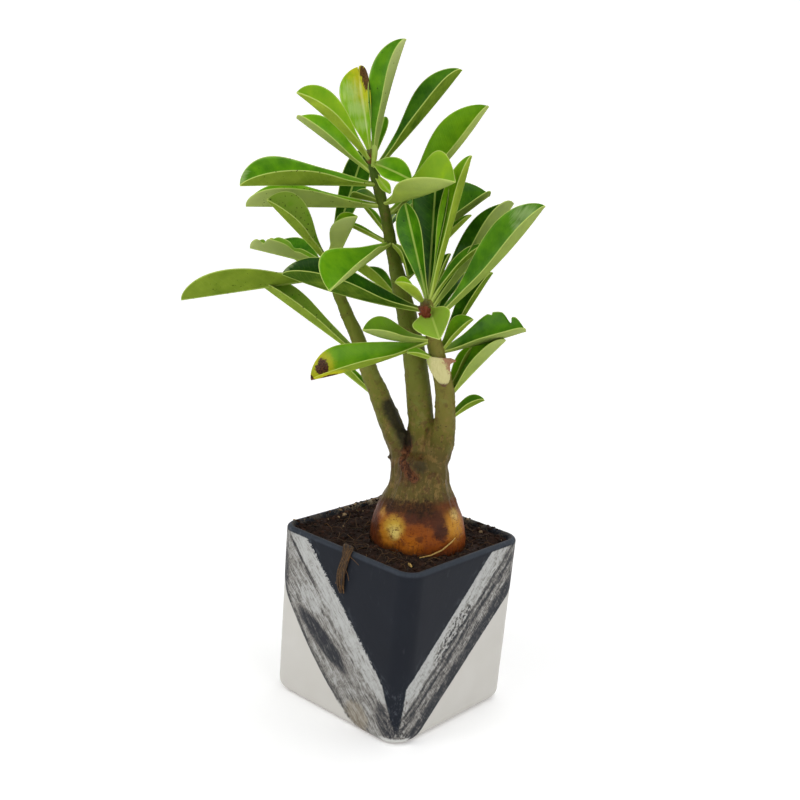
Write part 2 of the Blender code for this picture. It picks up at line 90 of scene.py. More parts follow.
class Wire:
    """A socket in a material. Arithmetic on it adds the Math nodes that work it out."""

    def __init__(self, tree, socket=None):
        self.tree = tree
        self.socket = socket

    def add(self, kind, settings=None, inputs=None, output=0):
        """Any node: its settings are made first, then its sockets; gives one of its outputs."""
        node = self.tree.nodes.new(kind)
        for name, value in (settings or {}).items():
            if name == "stops":
                elements = node.color_ramp.elements
                elements[0].position, elements[0].color = value[0]
                elements[1].position, elements[1].color = value[-1]
                for place, colour in value[1:-1]:
                    elements.new(place).color = colour
            else:
                setattr(node, name, value)
        for name, value in (inputs or {}).items():
            if isinstance(value, Wire):
                self.tree.links.new(value.socket, node.inputs[name])
            else:
                node.inputs[name].default_value = value
        return Wire(self.tree, node.outputs[output])

    def maths(self, operation, first, second=0.0):
        return self.add("ShaderNodeMath", {"operation": operation}, {0: first, 1: second})

    def __add__(self, other):
        return self.maths("ADD", self, other)

    def __sub__(self, other):
        return self.maths("SUBTRACT", self, other)

    def __mul__(self, other):
        return self.maths("MULTIPLY", self, other)

    def __truediv__(self, other):
        return self.maths("DIVIDE", self, other)

    def __radd__(self, other):
        return self.maths("ADD", other, self)

    def __rsub__(self, other):
        return self.maths("SUBTRACT", other, self)

    def __rmul__(self, other):
        return self.maths("MULTIPLY", other, self)

    def __abs__(self):
        return self.maths("ABSOLUTE", self)

    def rise(self, low, high):
        """0 below low, 1 above high, and smooth between them."""
        return self.add("ShaderNodeMapRange", {"interpolation_type": "SMOOTHSTEP"},
                        {"Value": self, "From Min": low, "From Max": high})

    def blend(self, first, second):
        """The colour that passes from the first to the second as this mask goes 0 to 1."""
        return self.add("ShaderNodeMix", {"data_type": "RGBA"},
                        {0: self, 6: first, 7: second}, 2)

    def ramp(self, *stops):
        """The colour at this value along a row of stops, each a place and a colour."""
        return self.add("ShaderNodeValToRGB", {"stops": stops}, {0: self})

    def noise(self, place, size, detail=3.0, rough=0.55):
        """Cloudy noise from 0 to 1 whose lumps are about the given size."""
        return self.add("ShaderNodeTexNoise", {},
                        {"Vector": place, "Scale": 1 / size, "Detail": detail,
                         "Roughness": rough})

    def point(self, x, y, z):
        """A place made of three values, for noise that is stretched or bent."""
        return self.add("ShaderNodeCombineXYZ", {}, {0: x, 1: y, 2: z})

    def place(self):
        """The point on the object in millimetres, and its x, y and z."""
        metres = self.add("ShaderNodeTexCoord", {}, {}, "Object")
        spot = self.add("ShaderNodeVectorMath", {"operation": "SCALE"},
                        {0: metres, "Scale": 1 / MM})
        return spot, *(self.add("ShaderNodeSeparateXYZ", {}, {0: spot}, axis)
                       for axis in range(3))

    def near(self, spot, centre, reach, ragged=0.0, firm=0.55):
        """1 at the centre and 0 past the reach, with the edge moved in and out by ragged."""
        away = self.add("ShaderNodeVectorMath", {"operation": "DISTANCE"},
                        {0: spot, 1: centre}, 1)
        return (away + ragged).rise(reach, reach * firm)

    def attribute(self, name):
        """A value that the mesh holds for each of its vertices."""
        return self.add("ShaderNodeAttribute", {"attribute_name": name}, {}, 2)

    def bump(self, height, depth):
        """Relief from a height of 0 to 1 that stands for the depth in millimetres."""
        return self.add("ShaderNodeBump", {}, {"Height": height, "Distance": depth * MM})


def paint(red, green, blue):
    """A colour given as it looks on a screen, 0 to 255, in the linear values shaders use."""
    linear = [((c / 255 + 0.055) / 1.055) ** 2.4 if c > 10 else c / 3294
              for c in (red, green, blue)]
    return (*linear, 1.0)


def grey(level):
    """A grey by how much light it gives, from 0 to 1."""
    return (level, level, level, 1.0)


def new_finish(name, settings):
    """A material, the wire that starts its nodes, and its shader with the settings made."""
    material = bpy.data.materials.new(name)
    material.use_nodes = True
    shader = material.node_tree.nodes["Principled BSDF"]
    for socket, value in settings.items():
        shader.inputs[socket].default_value = value
    return material, Wire(material.node_tree), shader


def connect(shader, **wires):
    """Join wires to the shader: Base_Color=wire for the socket Base Color."""
    for name, wire in wires.items():
        wire.tree.links.new(wire.socket, shader.inputs[name.replace("_", " ")])


def coats(colour, *layers):
    """The colour after others are laid over it in turn, each given as a mask and a colour."""
    for mask, layer in layers:
        colour = mask.blend(colour, layer)
    return colour


def make_piece(name, vertices, faces, *materials):
    """A smooth-shaded object whose vertices are given in millimetres."""
    mesh = bpy.data.meshes.new(name)
    mesh.from_pydata([Vector(v) * MM for v in vertices], [], faces)
    for material in materials:
        mesh.materials.append(material)
    mesh.shade_smooth()
    piece = bpy.data.objects.new(name, mesh)
    bpy.context.scene.collection.objects.link(piece)
    return piece


def skin_rings(rings):
    """Vertices and faces of a closed skin over rings of the same number of points."""
    count = len(rings[0])
    vertices = [point for ring in rings for point in ring]
    faces = []
    for row in range(len(rings) - 1):
        for step in range(count):
            after = (step + 1) % count
            faces.append((row * count + step, row * count + after,
                          (row + 1) * count + after, (row + 1) * count + step))
    faces.append(tuple(reversed(range(count))))
    faces.append(tuple((len(rings) - 1) * count + step for step in range(count)))
    return vertices, faces


def outward(angle):
    """A level step of one unit in a direction, from +X towards +Y."""
    return Vector((math.cos(angle), math.sin(angle), 0))


def rounded_square(half, corner, height, side_steps=14, arc_steps=12):
    """Points round a square with rounded corners, at one height."""
    points = []
    for quarter in range(4):
        turn = Matrix.Rotation(quarter * math.pi / 2, 3, "Z")
        for step in range(side_steps):
            points.append(turn @ Vector((half, (half - corner) * (2 * step / side_steps - 1),
                                         height)))
        for step in range(arc_steps):
            angle = math.pi / 2 * step / arc_steps
            points.append(turn @ Vector((half - corner + corner * math.cos(angle),
                                         half - corner + corner * math.sin(angle), height)))
    return points


def keep_modifiers(piece):
    """Make what the piece's modifiers do part of its mesh."""
    graph = bpy.context.evaluated_depsgraph_get()
    made = bpy.data.meshes.new_from_object(piece.evaluated_get(graph), depsgraph=graph)
    piece.modifiers.clear()
    piece.data = made


def pot_stations():
    """Half side, corner radius and height: up the outside, over the lip, down the inside."""
    heights = [FOOT_HEIGHT * (step / FOOT_STEPS) ** 1.7 for step in range(FOOT_STEPS)]
    heights += [FOOT_HEIGHT + (SHOULDER - FOOT_HEIGHT) * step / WALL_STEPS
                for step in range(WALL_STEPS + 1)]
    outside = [(POT_HALF - POT_TAPER * (1 - height / SHOULDER)
                - FOOT_DRAW * max(0.0, 1 - height / FOOT_HEIGHT) ** 3, POT_CORNER, height)
               for height in heights]
    lip = [(POT_HALF - LIP_RADIUS * (1 - math.cos(turn)),
            POT_CORNER - LIP_RADIUS * (1 - math.cos(turn)),
            POT_TOP - LIP_RADIUS * (1 - math.sin(turn)))
           for turn in (math.pi * (step + 0.5) / LIP_STEPS for step in range(LIP_STEPS))]
    inside = [(POT_HALF - POT_WALL - drawn, POT_CORNER - POT_WALL + rounder, height)
              for drawn, rounder, height in HOLLOW]
    return outside, lip, inside


class PaintedFace:
    """The pot's painted faces as wires: where a point is on them, and the bristle marks there."""

    def __init__(self, shade):
        self.shade = shade
        self.spot, self.x, self.y, self.z = shade.place()
        side_x, side_y = shade.maths("SIGN", self.x), shade.maths("SIGN", self.y)
        # 1 on the two faces that look along X
        self.on_x = on_x = (abs(self.x) - abs(self.y)).rise(-8.0, 8.0)
        # How far along the wall the point is from the corner where the V has its foot
        self.along = along = POT_HALF + self.x * side_y * (1 - on_x) + self.y * side_x * on_x
        self.apart = on_x * 9.0 + side_x * 4.0      # so that the faces differ in their strokes
        self.waver = self.marks(12, 12, 80, 1.0) - 0.5
        self.streaks = self.marks(9, 0.7, 0, 3.0, 0.65, self.waver * 5)
        self.broad = self.marks(8, 1.9, 10, 3.0, bend=self.waver * 3)
        self.patches = self.marks(5, 3, 20, 4.0, 0.7)
        self.teeth = self.marks(1.1, 3.0, 60, 2.0)
        self.bleed = self.marks(2.2, 1.5, 40, 4.0, 0.75) - 0.5
        self.speckle = shade.noise(self.spot, 0.55, 2.0, 0.7)
        # How high the band's two edges are: the lower one sags on the faces that look along Y
        self.upper = 18.5 + along * 1.02 + on_x * (8.0 - along * 0.02)
        sagging = 3.0 + (along - 30) * 0.781 + (along - 30) * (along - 57.4) * 0.008
        straight = (along - 14.6) * 0.903
        self.lower = sagging * (1 - on_x) + straight * on_x

    def marks(self, length, width, layer, detail, rough=0.55, bend=0.0):
        """Bristle marks about this long in millimetres along the band, and this wide across."""
        stroke, lift = (self.along + self.z) * DIAGONAL, (self.z - self.along) * DIAGONAL
        place = self.shade.point(stroke / length, lift / width + bend, self.apart + layer)
        return self.shade.noise(place, 1.0, detail, rough)

    def blot(self, centre, reach, tilt, raggedness=0.9):
        """A ragged oval on a face: its middle and half sizes in millimetres, and its tilt."""
        cos, sin = math.cos(math.radians(tilt)), math.sin(math.radians(tilt))
        run, climb = self.along - centre[0], self.z - centre[1]
        oval = self.shade.point((run * cos + climb * sin) / reach[0],
                                (climb * cos - run * sin) / reach[1], 0.0)
        ragged = (self.patches - 0.5) * 1.6 + (self.broad - 0.5) * 0.9
        return self.shade.near(oval, (0.0, 0.0, 0.0), 1.2, ragged * raggedness, 0.6)


def brushed_slate(face):
    """How much slate the dry brush left at each point of the band."""
    across = (face.upper - face.z) / (face.upper - face.lower) + face.waver * 0.05
    load_y, load_x = (across.ramp(*((place, grey(load)) for place, load in strokes))
                      for strokes in (STROKES_Y, STROKES_X))
    line = (abs(across - 0.30) - 0.025).rise(0.012, -0.012) * face.along.rise(50.0, 66.0)
    load_y = load_y + line * 0.35
    for *blot, slate in BLOTS_Y:
        load_y = load_y + face.blot(*blot) * slate
    load_x = load_x + face.marks(2.4, 1.8, 90, 2.0).rise(0.46, 0.58) * face.blot(*BLOT_X) * 0.5
    return load_y * (1 - face.on_x) + load_x * face.on_x \
        + (face.streaks - 0.5) * 0.95 + (face.broad - 0.5) * 0.7 + (face.patches - 0.5) * 0.85 \
        + (face.teeth - 0.5) * (0.3 + face.on_x * 0.4) + (face.speckle - 0.5) * 0.35


def band_paint(face, brushed):
    """Pale grey that darkens with the slate brushed on it, flecked, and stained at one place."""
    flecks = face.shade.noise(face.spot, 1.6, 1.0).rise(0.80, 0.84)
    earthy = face.blot((28.0, 8.0), (9.0, 7.0), 40) * (1 - face.on_x)
    return coats(brushed.ramp((0.10, paint(176, 177, 175)), (0.32, paint(156, 156, 153)),
                              (0.50, paint(122, 119, 114)), (0.68, paint(78, 77, 77)),
                              (0.90, paint(44, 46, 51))),
                 (flecks, paint(60, 56, 52)),
                 (earthy * (0.2 + face.streaks * 0.5), paint(140, 128, 106)))


def slate_paint(face):
    """Scuffed slate, with pale paint dragged past the band's upper edge and a painted highlight on
    the lip.
    """
    shade, z = face.shade, face.z
    scuffs = shade.noise(shade.point(face.x / 3, face.y / 3, z / 7), 1.0, 5.0).rise(0.62, 0.82)
    dragged = (z - face.upper).rise(9.0, 0.0) \
        * (face.streaks * 0.5 + face.patches * 0.5).rise(0.50, 0.66)
    # A painted highlight along the top of the lip, broken up by the brush patches
    lip_highlight = z.rise(POT_TOP - 2.4, POT_TOP - 0.9) * (0.3 + face.patches * 0.5)
    return coats(shade.noise(face.spot, 30.0, 2.0).blend(paint(22, 25, 32), paint(28, 32, 40)),
                 (scuffs * 0.10, paint(110, 114, 120)), (dragged * 0.30, paint(116, 122, 130)),
                 (lip_highlight * 0.34, paint(98, 107, 119)))


def make_painted_ceramic():
    """Off-white glaze under a slate V and a dry-brushed band, which folds round the corners."""
    material, shade, shader = new_finish("painted_ceramic", {"Specular IOR Level": 0.12})
    face = PaintedFace(shade)
    z, along, on_x, bleed, speckle = face.z, face.along, face.on_x, face.bleed, face.speckle
    brushed = brushed_slate(face)
    thin = z.rise(18.0, 6.0) * (1 - on_x)           # the brush ran dry towards the foot
    in_band = (z - face.lower - bleed * (1.2 + thin * 7) - (face.streaks - 0.5) * thin * 6).rise(
        -0.3 - thin, 0.3 + thin)
    # The slate lies above the band's frayed edge, in a wedge along the corner and over the lip
    fray = bleed * 7.5 + (face.teeth - 0.5) * 5.0 + (speckle - 0.5) * 5.0
    above_band = (z - face.upper - fray * (1 - on_x * 0.72)).rise(-0.4, 0.4)
    gap_edge = 0.4 + z * 0.40 + on_x * (3.2 - z * 0.36)
    gap = (along + bleed * 2.5 + (speckle - 0.5) * 1.2 - gap_edge).rise(0.5, -0.5)
    over_lip = (z + bleed * 1.2).rise(POT_TOP - 2.6, POT_TOP - 1.9)
    in_slate = shade.maths("MAXIMUM", shade.maths("MAXIMUM", above_band, gap), over_lip)
    # Below the V's foot the masking left a bare patch of the glaze on the corner
    bare_foot = (z + bleed * 3).rise(4.6, 3.4) * along.rise(13.0, 10.0)
    unglazed = (z + (speckle - 0.5) * 0.5).rise(1.0, 0.5)
    glaze = shade.noise(face.spot, 22.0, 2.0).blend(paint(189, 186, 179), paint(199, 197, 192))
    colour = coats(glaze, (in_band, band_paint(face, brushed)), (in_slate, slate_paint(face)),
                   (bare_foot, paint(196, 196, 192)),
                   (unglazed, speckle.blend(paint(84, 66, 50), paint(128, 104, 80))))
    rough = 0.38 + speckle * 0.1 + in_band * 0.12 + unglazed * 0.35
    relief = shade.bump(in_slate * 0.5 + brushed * in_band * 0.5 + speckle * 0.12, 0.10)
    connect(shader, Base_Color=colour, Roughness=rough, Normal=relief)
    return material


def make_slate_glaze():
    """The slate paint inside the lip, with dry compost dust and splashes on it."""
    material, shade, shader = new_finish("slate_inside", {"Specular IOR Level": 0.12})
    spot, x, y, z = shade.place()
    grain = shade.noise(spot, 0.8, 3.0, 0.7)
    cloud = shade.noise(spot, 6.0, 3.0)
    dusty = (cloud + (grain - 0.5) * 0.9 - (POT_TOP - 2.0 - z) * 0.03).rise(0.42, 0.66)
    far_side = (y - x).rise(25.0, 60.0)
    slate = cloud.blend(paint(28, 31, 37), paint(38, 41, 48))
    dust = grain.blend(paint(88, 76, 60), paint(176, 160, 134))
    colour = (dusty * (0.25 + far_side * 0.75)).blend(slate, dust)
    connect(shader, Base_Color=colour, Roughness=0.5 + dusty * 0.35,
            Normal=shade.bump(grain * dusty, 0.25))
    return material


def make_pot():
    """The cast wall, slightly uneven, with its drain holes cut through the floor."""
    outside, lip, inside = pot_stations()
    rings = [rounded_square(*station) for station in outside + lip + inside]
    for ring in rings:
        for point in ring:
            # Only inwards, so that the pot keeps to its widest size
            sink = POT_WOBBLE * (0.5 + 0.5 * noise.noise(point * 0.045))
            point.xy *= 1 - sink / POT_HALF
    pot = make_piece("painted_pot", *skin_rings(rings), make_painted_ceramic(),
                     make_slate_glaze())
    count = len(rings[0])
    first_inner = (len(outside) + LIP_STEPS // 2) * count
    for polygon in pot.data.polygons:
        polygon.material_index = int(min(polygon.vertices) >= first_inner)
    drains = bmesh.new()
    for hole in range(DRAIN_HOLES):
        spot = outward(2 * math.pi * (hole + 0.5) / DRAIN_HOLES) * DRAIN_CIRCLE * MM
        bmesh.ops.create_cone(drains, cap_ends=True, segments=40,
                              matrix=Matrix.Translation(spot), radius1=DRAIN_RADIUS * MM,
                              radius2=DRAIN_RADIUS * MM, depth=POT_FLOOR * 3 * MM)
    cutter_mesh = bpy.data.meshes.new("drain_cutter")
    drains.to_mesh(cutter_mesh)
    drains.free()
    cutter = bpy.data.objects.new("drain_cutter", cutter_mesh)
    bpy.context.scene.collection.objects.link(cutter)
    cut = pot.modifiers.new("Drain holes", "BOOLEAN")
    cut.operation = "DIFFERENCE"
    cut.object = cutter
    cut.solver = "EXACT"
    keep_modifiers(pot)
    bpy.data.objects.remove(cutter)
    pot.data.set_sharp_from_angle(angle=math.radians(38))
    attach(pot, "root")
    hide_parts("pot")


make_pot()


# Caudex and stems
# The plant's own wood, grown as one piece: a swollen golden base with a papery dark collar,
# a folded olive neck, and three stems with old leaf scars that taper up to the leaves.

STEMS = {  # x, y, height and radius down the middle of each stem
    "tall": [(4, 5, 118, 8.0), (4, 5, 130, 7.8), (3.5, 4.5, 143, 7.3), (2.8, 3.6, 153, 6.9),
             (-2, 1, 182, 6.1), (-7, -2, 204, 5.2), (-12, -5, 222, 4.4), (-16, -7, 236, 3.3),
             (-21, -10, 256, 2.9), (-27, -14, 276, 2.6), (-29, -15, 283, 1.9)],
    "left": [(2, 5, 118, 7.0), (-3, 1.5, 131, 6.8), (-9, -2, 143, 6.4), (-14, -4.5, 154, 5.9),
             (-19, -7, 165, 5.2), (-24, -10, 176, 4.5), (-31, -13, 192, 3.8),
             (-40, -18, 211, 3.2), (-47, -21, 229, 2.6), (-48, -22, 235, 1.8)],
    "right": [(5, 6, 118, 7.0), (10.5, 8, 131, 6.6), (14.8, 8.5, 145, 6.0), (16, 6, 163, 5.3),
              (16, 3, 175, 4.8), (13, -3, 195, 4.0), (12, -9, 212, 3.1), (11, -10, 219, 2.1)],
}
CAUDEX = [  # x, y, height and radius of the swollen base and its neck
    (5.6, 7.3, 51.0, 2.0), (5.6, 7.3, 56.0, 6.5), (5.6, 7.3, 63.0, 12.5),
    (5.6, 7.3, 71.0, 18.5), (5.6, 7.3, 79.0, 23.0), (5.5, 7.3, 87.0, 24.8),
    (5.2, 7.0, 94.0, 24.6), (5.0, 6.8, 100.0, 23.6), (4.9, 6.7, 105.0, 22.0),
    (4.7, 6.6, 111.0, 19.3), (4.5, 6.5, 115.0, 17.4), (4.3, 6.3, 121.0, 15.4),
    (3.9, 5.9, 127.0, 14.6), (3.5, 5.5, 132.0, 14.0), (3.0, 5.0, 136.0, 11.5),
    (3.0, 5.0, 139.0, 6.0),
]
SPUR = [  # x, y, height and radius along the dead snag on the neck's left
    (-5.0, -2.0, 129.8, 1.5), (-7.6, -4.2, 130.6, 1.1), (-9.9, -6.1, 132.2, 0.7),
]
BULB_LOBES = [(2, 0.018, 0.6), (3, 0.022, 2.0)]      # how many, how deep, and where round it
NECK_FOLDS = [(5, 0.040, 0.9), (8, 0.025, 2.2)]
BULB_POINTS, STEM_POINTS, SPUR_POINTS = 96, 28, 12
ROUTE_SPACING = 2.0
WOOD_VOXEL = 0.75                # grid on which base, stems and snag grow together
NECK_LOW, NECK_HIGH = 104.0, 146.0
TEARS = [  # where the bark is torn between the stems: points down it, depth, how raw it looks
    ([(-0.8, -0.2, 146.0), (0.4, -1.6, 142.0), (1.4, -4.8, 137.5), (3.0, -7.2, 132.5),
      (6.4, -8.0, 129.0), (10.4, -7.4, 126.0)], 1.4, 0.9),
    ([(10.6, 1.6, 150.0), (10.9, 0.6, 146.0), (10.2, -1.2, 141.0), (9.6, -3.4, 136.0)], 1.0, 0.4),
    ([(9.8, -5.4, 132.0), (13.2, -5.0, 129.4), (16.8, -1.0, 127.6), (18.6, 4.6, 126.8)], 0.9, 0.15),
]
TEAR_HALF, TEAR_LIP, TEAR_REACH = 1.3, 2.6, 4.6      # half width, its raised lip, its colour
SCARS_PER_STEM = 16
SCAR_WIDEST = 2.4
SCAR_RIM, SCAR_SINK, SCAR_FLATNESS = 0.32, 0.15, 0.55
SCARS_FROM, SCARS_OVER = 0.20, 0.72                  # the share of each stem that they are on
SPIRAL = math.radians(137.5)     # turn from each leaf, scar or bud scale to the next


def clamp(value):
    """The value, kept from 0 to 1."""
    return max(0.0, min(1.0, value))


def around(count):
    """Angles spread evenly round a circle."""
    return [2 * math.pi * step / count for step in range(count)]


def smooth_route(controls, spacing):
    """Points along a smooth curve through the controls, about the spacing apart."""
    padded = [controls[0], *controls, controls[-1]]
    route = []
    for first, start, end, last in zip(padded, padded[1:], padded[2:], padded[3:]):
        pieces = max(1, round(math.dist(start[:3], end[:3]) / spacing))
        for piece in range(pieces):
            s = piece / pieces
            route.append([0.5 * (2 * b + (c - a) * s + (2 * a - 5 * b + 4 * c - d) * s ** 2
                                 + (3 * b - a - 3 * c + d) * s ** 3)
                          for a, b, c, d in zip(first, start, end, last)])
    route.append(list(controls[-1]))
    return route


def tube_rings(route, sides):
    """Rings of points square to a route of x, y, z and radius."""
    rings = []
    side = Vector((0, 1, 0))
    for index, (x, y, z, radius) in enumerate(route):
        before = Vector(route[max(0, index - 1)][:3])
        after = Vector(route[min(len(route) - 1, index + 1)][:3])
        along = (after - before).normalized()
        side = (side - along * side.dot(along)).normalized()
        other = along.cross(side)
        rings.append([Vector((x, y, z)) + radius * (math.cos(turn) * side
                                                    + math.sin(turn) * other)
                      for turn in around(sides)])
    return rings


def caudex_swell(turn, height):
    """Low ridges and hollows of the bulb, and bark folds that deepen up the neck."""
    lobes, folds = (sum(depth * math.sin(count * turn + phase) for count, depth, phase in waves)
                    for waves in (BULB_LOBES, NECK_FOLDS))
    return 1 + clamp((height - 70) / 15) * lobes + clamp((height - NECK_LOW) / 18) * folds


def join_meshes(parts):
    """Vertices and faces of several parts as one list of each."""
    vertices, faces = [], []
    for part_vertices, part_faces in parts:
        base = len(vertices)
        vertices.extend(part_vertices)
        faces.extend(tuple(base + corner for corner in face) for face in part_faces)
    return vertices, faces


def tear_at(point):
    """How deep a tear pulls the bark in, with its lips raised, and how torn it looks."""
    deep, torn = 0.0, 0.0
    for route, depth, rawness in TEARS:
        if route[-1][2] - 5 < point.z < route[0][2] + 5:
            away = min((point - Vector(a).lerp(Vector(b), share / 8)).length
                       for a, b in zip(route, route[1:]) for share in range(9))
            away += 0.9 * noise.noise(point * 0.5)
            deep += depth * (0.45 * math.exp(-((away - TEAR_LIP) / 0.9) ** 2)
                             - math.exp(-(away / TEAR_HALF) ** 2))
            torn = max(torn, rawness * max(0.0, 1 - max(0.0, away) / TEAR_REACH))
    return deep, torn


def wood_displacement(point):
    """How far the bark stands out or in, beyond the smooth shape."""
    height = point.z
    turn = math.atan2(point.y - 6.0, point.x - 4.5)
    upright = Vector((turn * 5.0, height * 0.055, 3.0))
    neck = clamp((height - NECK_LOW) / 12) * clamp((NECK_HIGH + 12 - height) / 14)
    crease = 1 - abs(noise.noise(upright)) * 2
    creases = -1.1 * neck * max(0.0, crease - 0.45)
    bulb = clamp((NECK_LOW + 4 - height) / 10)
    rings = 0.07 * bulb * math.sin(height * 1.3 + 7 * noise.noise(point * 0.10))
    collar = max(0.0, 1 - abs(height - 111 - 3 * noise.noise(point * 0.1)) / 6)
    papery = collar * 0.5 * abs(noise.noise(Vector((turn * 9, height * 0.35, 7.0))))
    lumps = (0.28 + 0.5 * neck) * noise.noise(point * 0.16) + 0.16 * noise.noise(point * 0.6)
    grain = 0.10 * noise.noise(Vector((point.x * 0.9, point.y * 0.9, height * 0.22)))
    return creases + rings + papery + lumps + grain


# The palest of these, at the front and on the right of the base, are painted highlights; the others
# are the skin's own paler gold
BARK_PALE_PATCHES_AND_HIGHLIGHTS = [  # centre, reach, colour and strength of the golden skin's pale patches
    ((5, -16, 97), 11.5, (182, 122, 28), 0.85), ((7, -15.8, 100.5), 8, (196, 164, 58), 0.85),
    ((8, -16.2, 97.5), 5.5, (222, 202, 116), 0.8), ((-3, -14, 106), 4.5, (190, 140, 62), 0.7),
    ((27, 8, 102), 11.5, (196, 140, 42), 0.85), ((26, 9, 107.5), 5, (218, 190, 112), 0.7),
    ((17, -13, 92), 9, (190, 112, 26), 0.7), ((-17, 16, 100), 11, (202, 156, 60), 0.8),
    ((6, 31, 99), 11, (204, 150, 54), 0.8),
]
BARK_PATCHES = [  # centre, reach and strength of its dark papery patches
    ((28, -2.5, 99.5), 5.5, 0.95), ((25, -3, 105.5), 6.5, 0.9), ((20.5, -8.5, 108.5), 6, 0.9),
    ((-9.5, -12, 96), 10, 0.75), ((-8, -10, 106), 6, 0.7), ((1, -13.5, 109), 4, 0.8),
    ((21, -11.5, 97), 2.6, 0.6), ((14, -15.5, 93), 2.4, 0.5), ((-20, 2, 97), 10, 0.8),
    ((-8, 29, 103), 10, 0.8), ((22, 25, 98), 9, 0.7), ((-5.5, -14.5, 98), 5, 0.65),
    ((-2.5, -16, 92), 4, 0.6), ((15, -10.7, 107), 5.5, 0.9),
]
# Ends of the line that painted shade follows down the left stem's inner side, darkening the
# bark, its reach and how many overlapping patches make it
SHADED_FROM, SHADED_TO = Vector((-11.0, -6.5, 159.0)), Vector((-0.8, -2.4, 143.0))
SHADED_REACH, SHADED_PATCHES = 6.4, 8


class WoodGrain:
    """Where a point is on the wood, and the grain that all its colours share, as wires."""

    def __init__(self, shade):
        self.shade = shade
        self.spot, self.x, y, self.z = shade.place()
        self.mottle = shade.noise(self.spot, 5.0, 4.0, 0.65)
        self.lumps = shade.noise(self.spot, 3.4, 4.0, 0.7)
        self.fine = shade.noise(self.spot, 0.9, 4.0, 0.7)
        self.upright = shade.noise(shade.point(self.x / 1.6, y / 1.6, self.z / 9.0),
                                   1.0, 4.0, 0.65)
        self.level = shade.noise(shade.point(self.x / 6, y / 6, self.z / 0.8 + self.mottle * 3),
                                 1.0, 3.0, 0.6)
        self.ragged = (self.mottle - 0.5) * 8.0 + (self.fine - 0.5) * 3.0


def golden_skin(grain):
    """The base's golden skin, patched and stained dark at the compost, and where it is cracked."""
    shade, spot, z, ragged = grain.shade, grain.spot, grain.z, grain.ragged
    mottle, fine, upright, level = grain.mottle, grain.fine, grain.upright, grain.level
    skin = ((z + ragged - 82) / 30).ramp(
        (0.0, paint(66, 28, 10)), (0.25, paint(124, 58, 11)), (0.5, paint(142, 72, 13)),
        (0.75, paint(126, 66, 18)), (1.0, paint(104, 56, 20)))
    # Paler gold, and where it is palest, painted highlights
    for centre, reach, colour, strength in BARK_PALE_PATCHES_AND_HIGHLIGHTS:
        patch_and_highlight = shade.near(spot, centre, reach, ragged * 0.5, 0.15)
        skin = (patch_and_highlight * strength).blend(skin, paint(*colour))
    for centre, reach, strength in BARK_PATCHES:
        patch = shade.near(spot, centre, reach, ragged * 0.9 + (level - 0.5) * 3, 0.5)
        skin = (patch * strength).blend(skin, fine.blend(paint(30, 14, 8), paint(80, 36, 14)))
    dapple = (shade.noise(spot, 3.2, 4.0, 0.7) + (level - 0.5) * 0.3).rise(0.54, 0.66)
    cracks = (level + (fine - 0.5) * 0.4).rise(0.60, 0.74)
    freckles = (fine + (mottle - 0.5) * 0.7).rise(0.59, 0.70)
    stained = (z + (upright - 0.5) * 12 + (fine - 0.5) * 4).rise(92.0, 88.0)
    skin = coats(skin, (dapple * 0.5, paint(92, 38, 12)), (cracks * 0.6, paint(92, 42, 12)),
                 (freckles * 0.75, paint(80, 34, 12)), (stained * 0.7, paint(56, 30, 16)))
    return skin, cracks


def olive_bark(grain):
    """Olive bark from the neck up, with tan and dark blotches that are thickest low down."""
    z, mottle, lumps, fine, upright = grain.z, grain.mottle, grain.lumps, grain.fine, grain.upright
    olive = ((z + grain.ragged - 112) / 172).ramp(
        (0.0, paint(88, 76, 30)), (0.14, paint(84, 72, 30)), (0.22, paint(92, 88, 28)),
        (0.38, paint(104, 108, 38)), (0.60, paint(98, 112, 28)), (0.82, paint(76, 92, 16)),
        (1.0, paint(58, 82, 14)))
    right_stem = (grain.x + (mottle - 0.5) * 3 - (200 - z) * 0.05).rise(7.0, 10.0) \
        * z.rise(146.0, 156.0)
    low_down = z.rise(190.0, 130.0)
    tanned = (lumps + (upright - 0.5) * 0.5).rise(0.50, 0.62) * (0.15 + low_down * 0.55)
    blotched = (mottle + (lumps - 0.5) * 0.8).rise(0.55, 0.66) * (0.25 + low_down * 0.5)
    return coats(olive, (right_stem * 0.6, paint(116, 106, 46)),
                 (tanned, fine.blend(paint(112, 88, 44), paint(146, 118, 68))),
                 (blotched, fine.blend(paint(52, 34, 16), paint(88, 62, 30))))


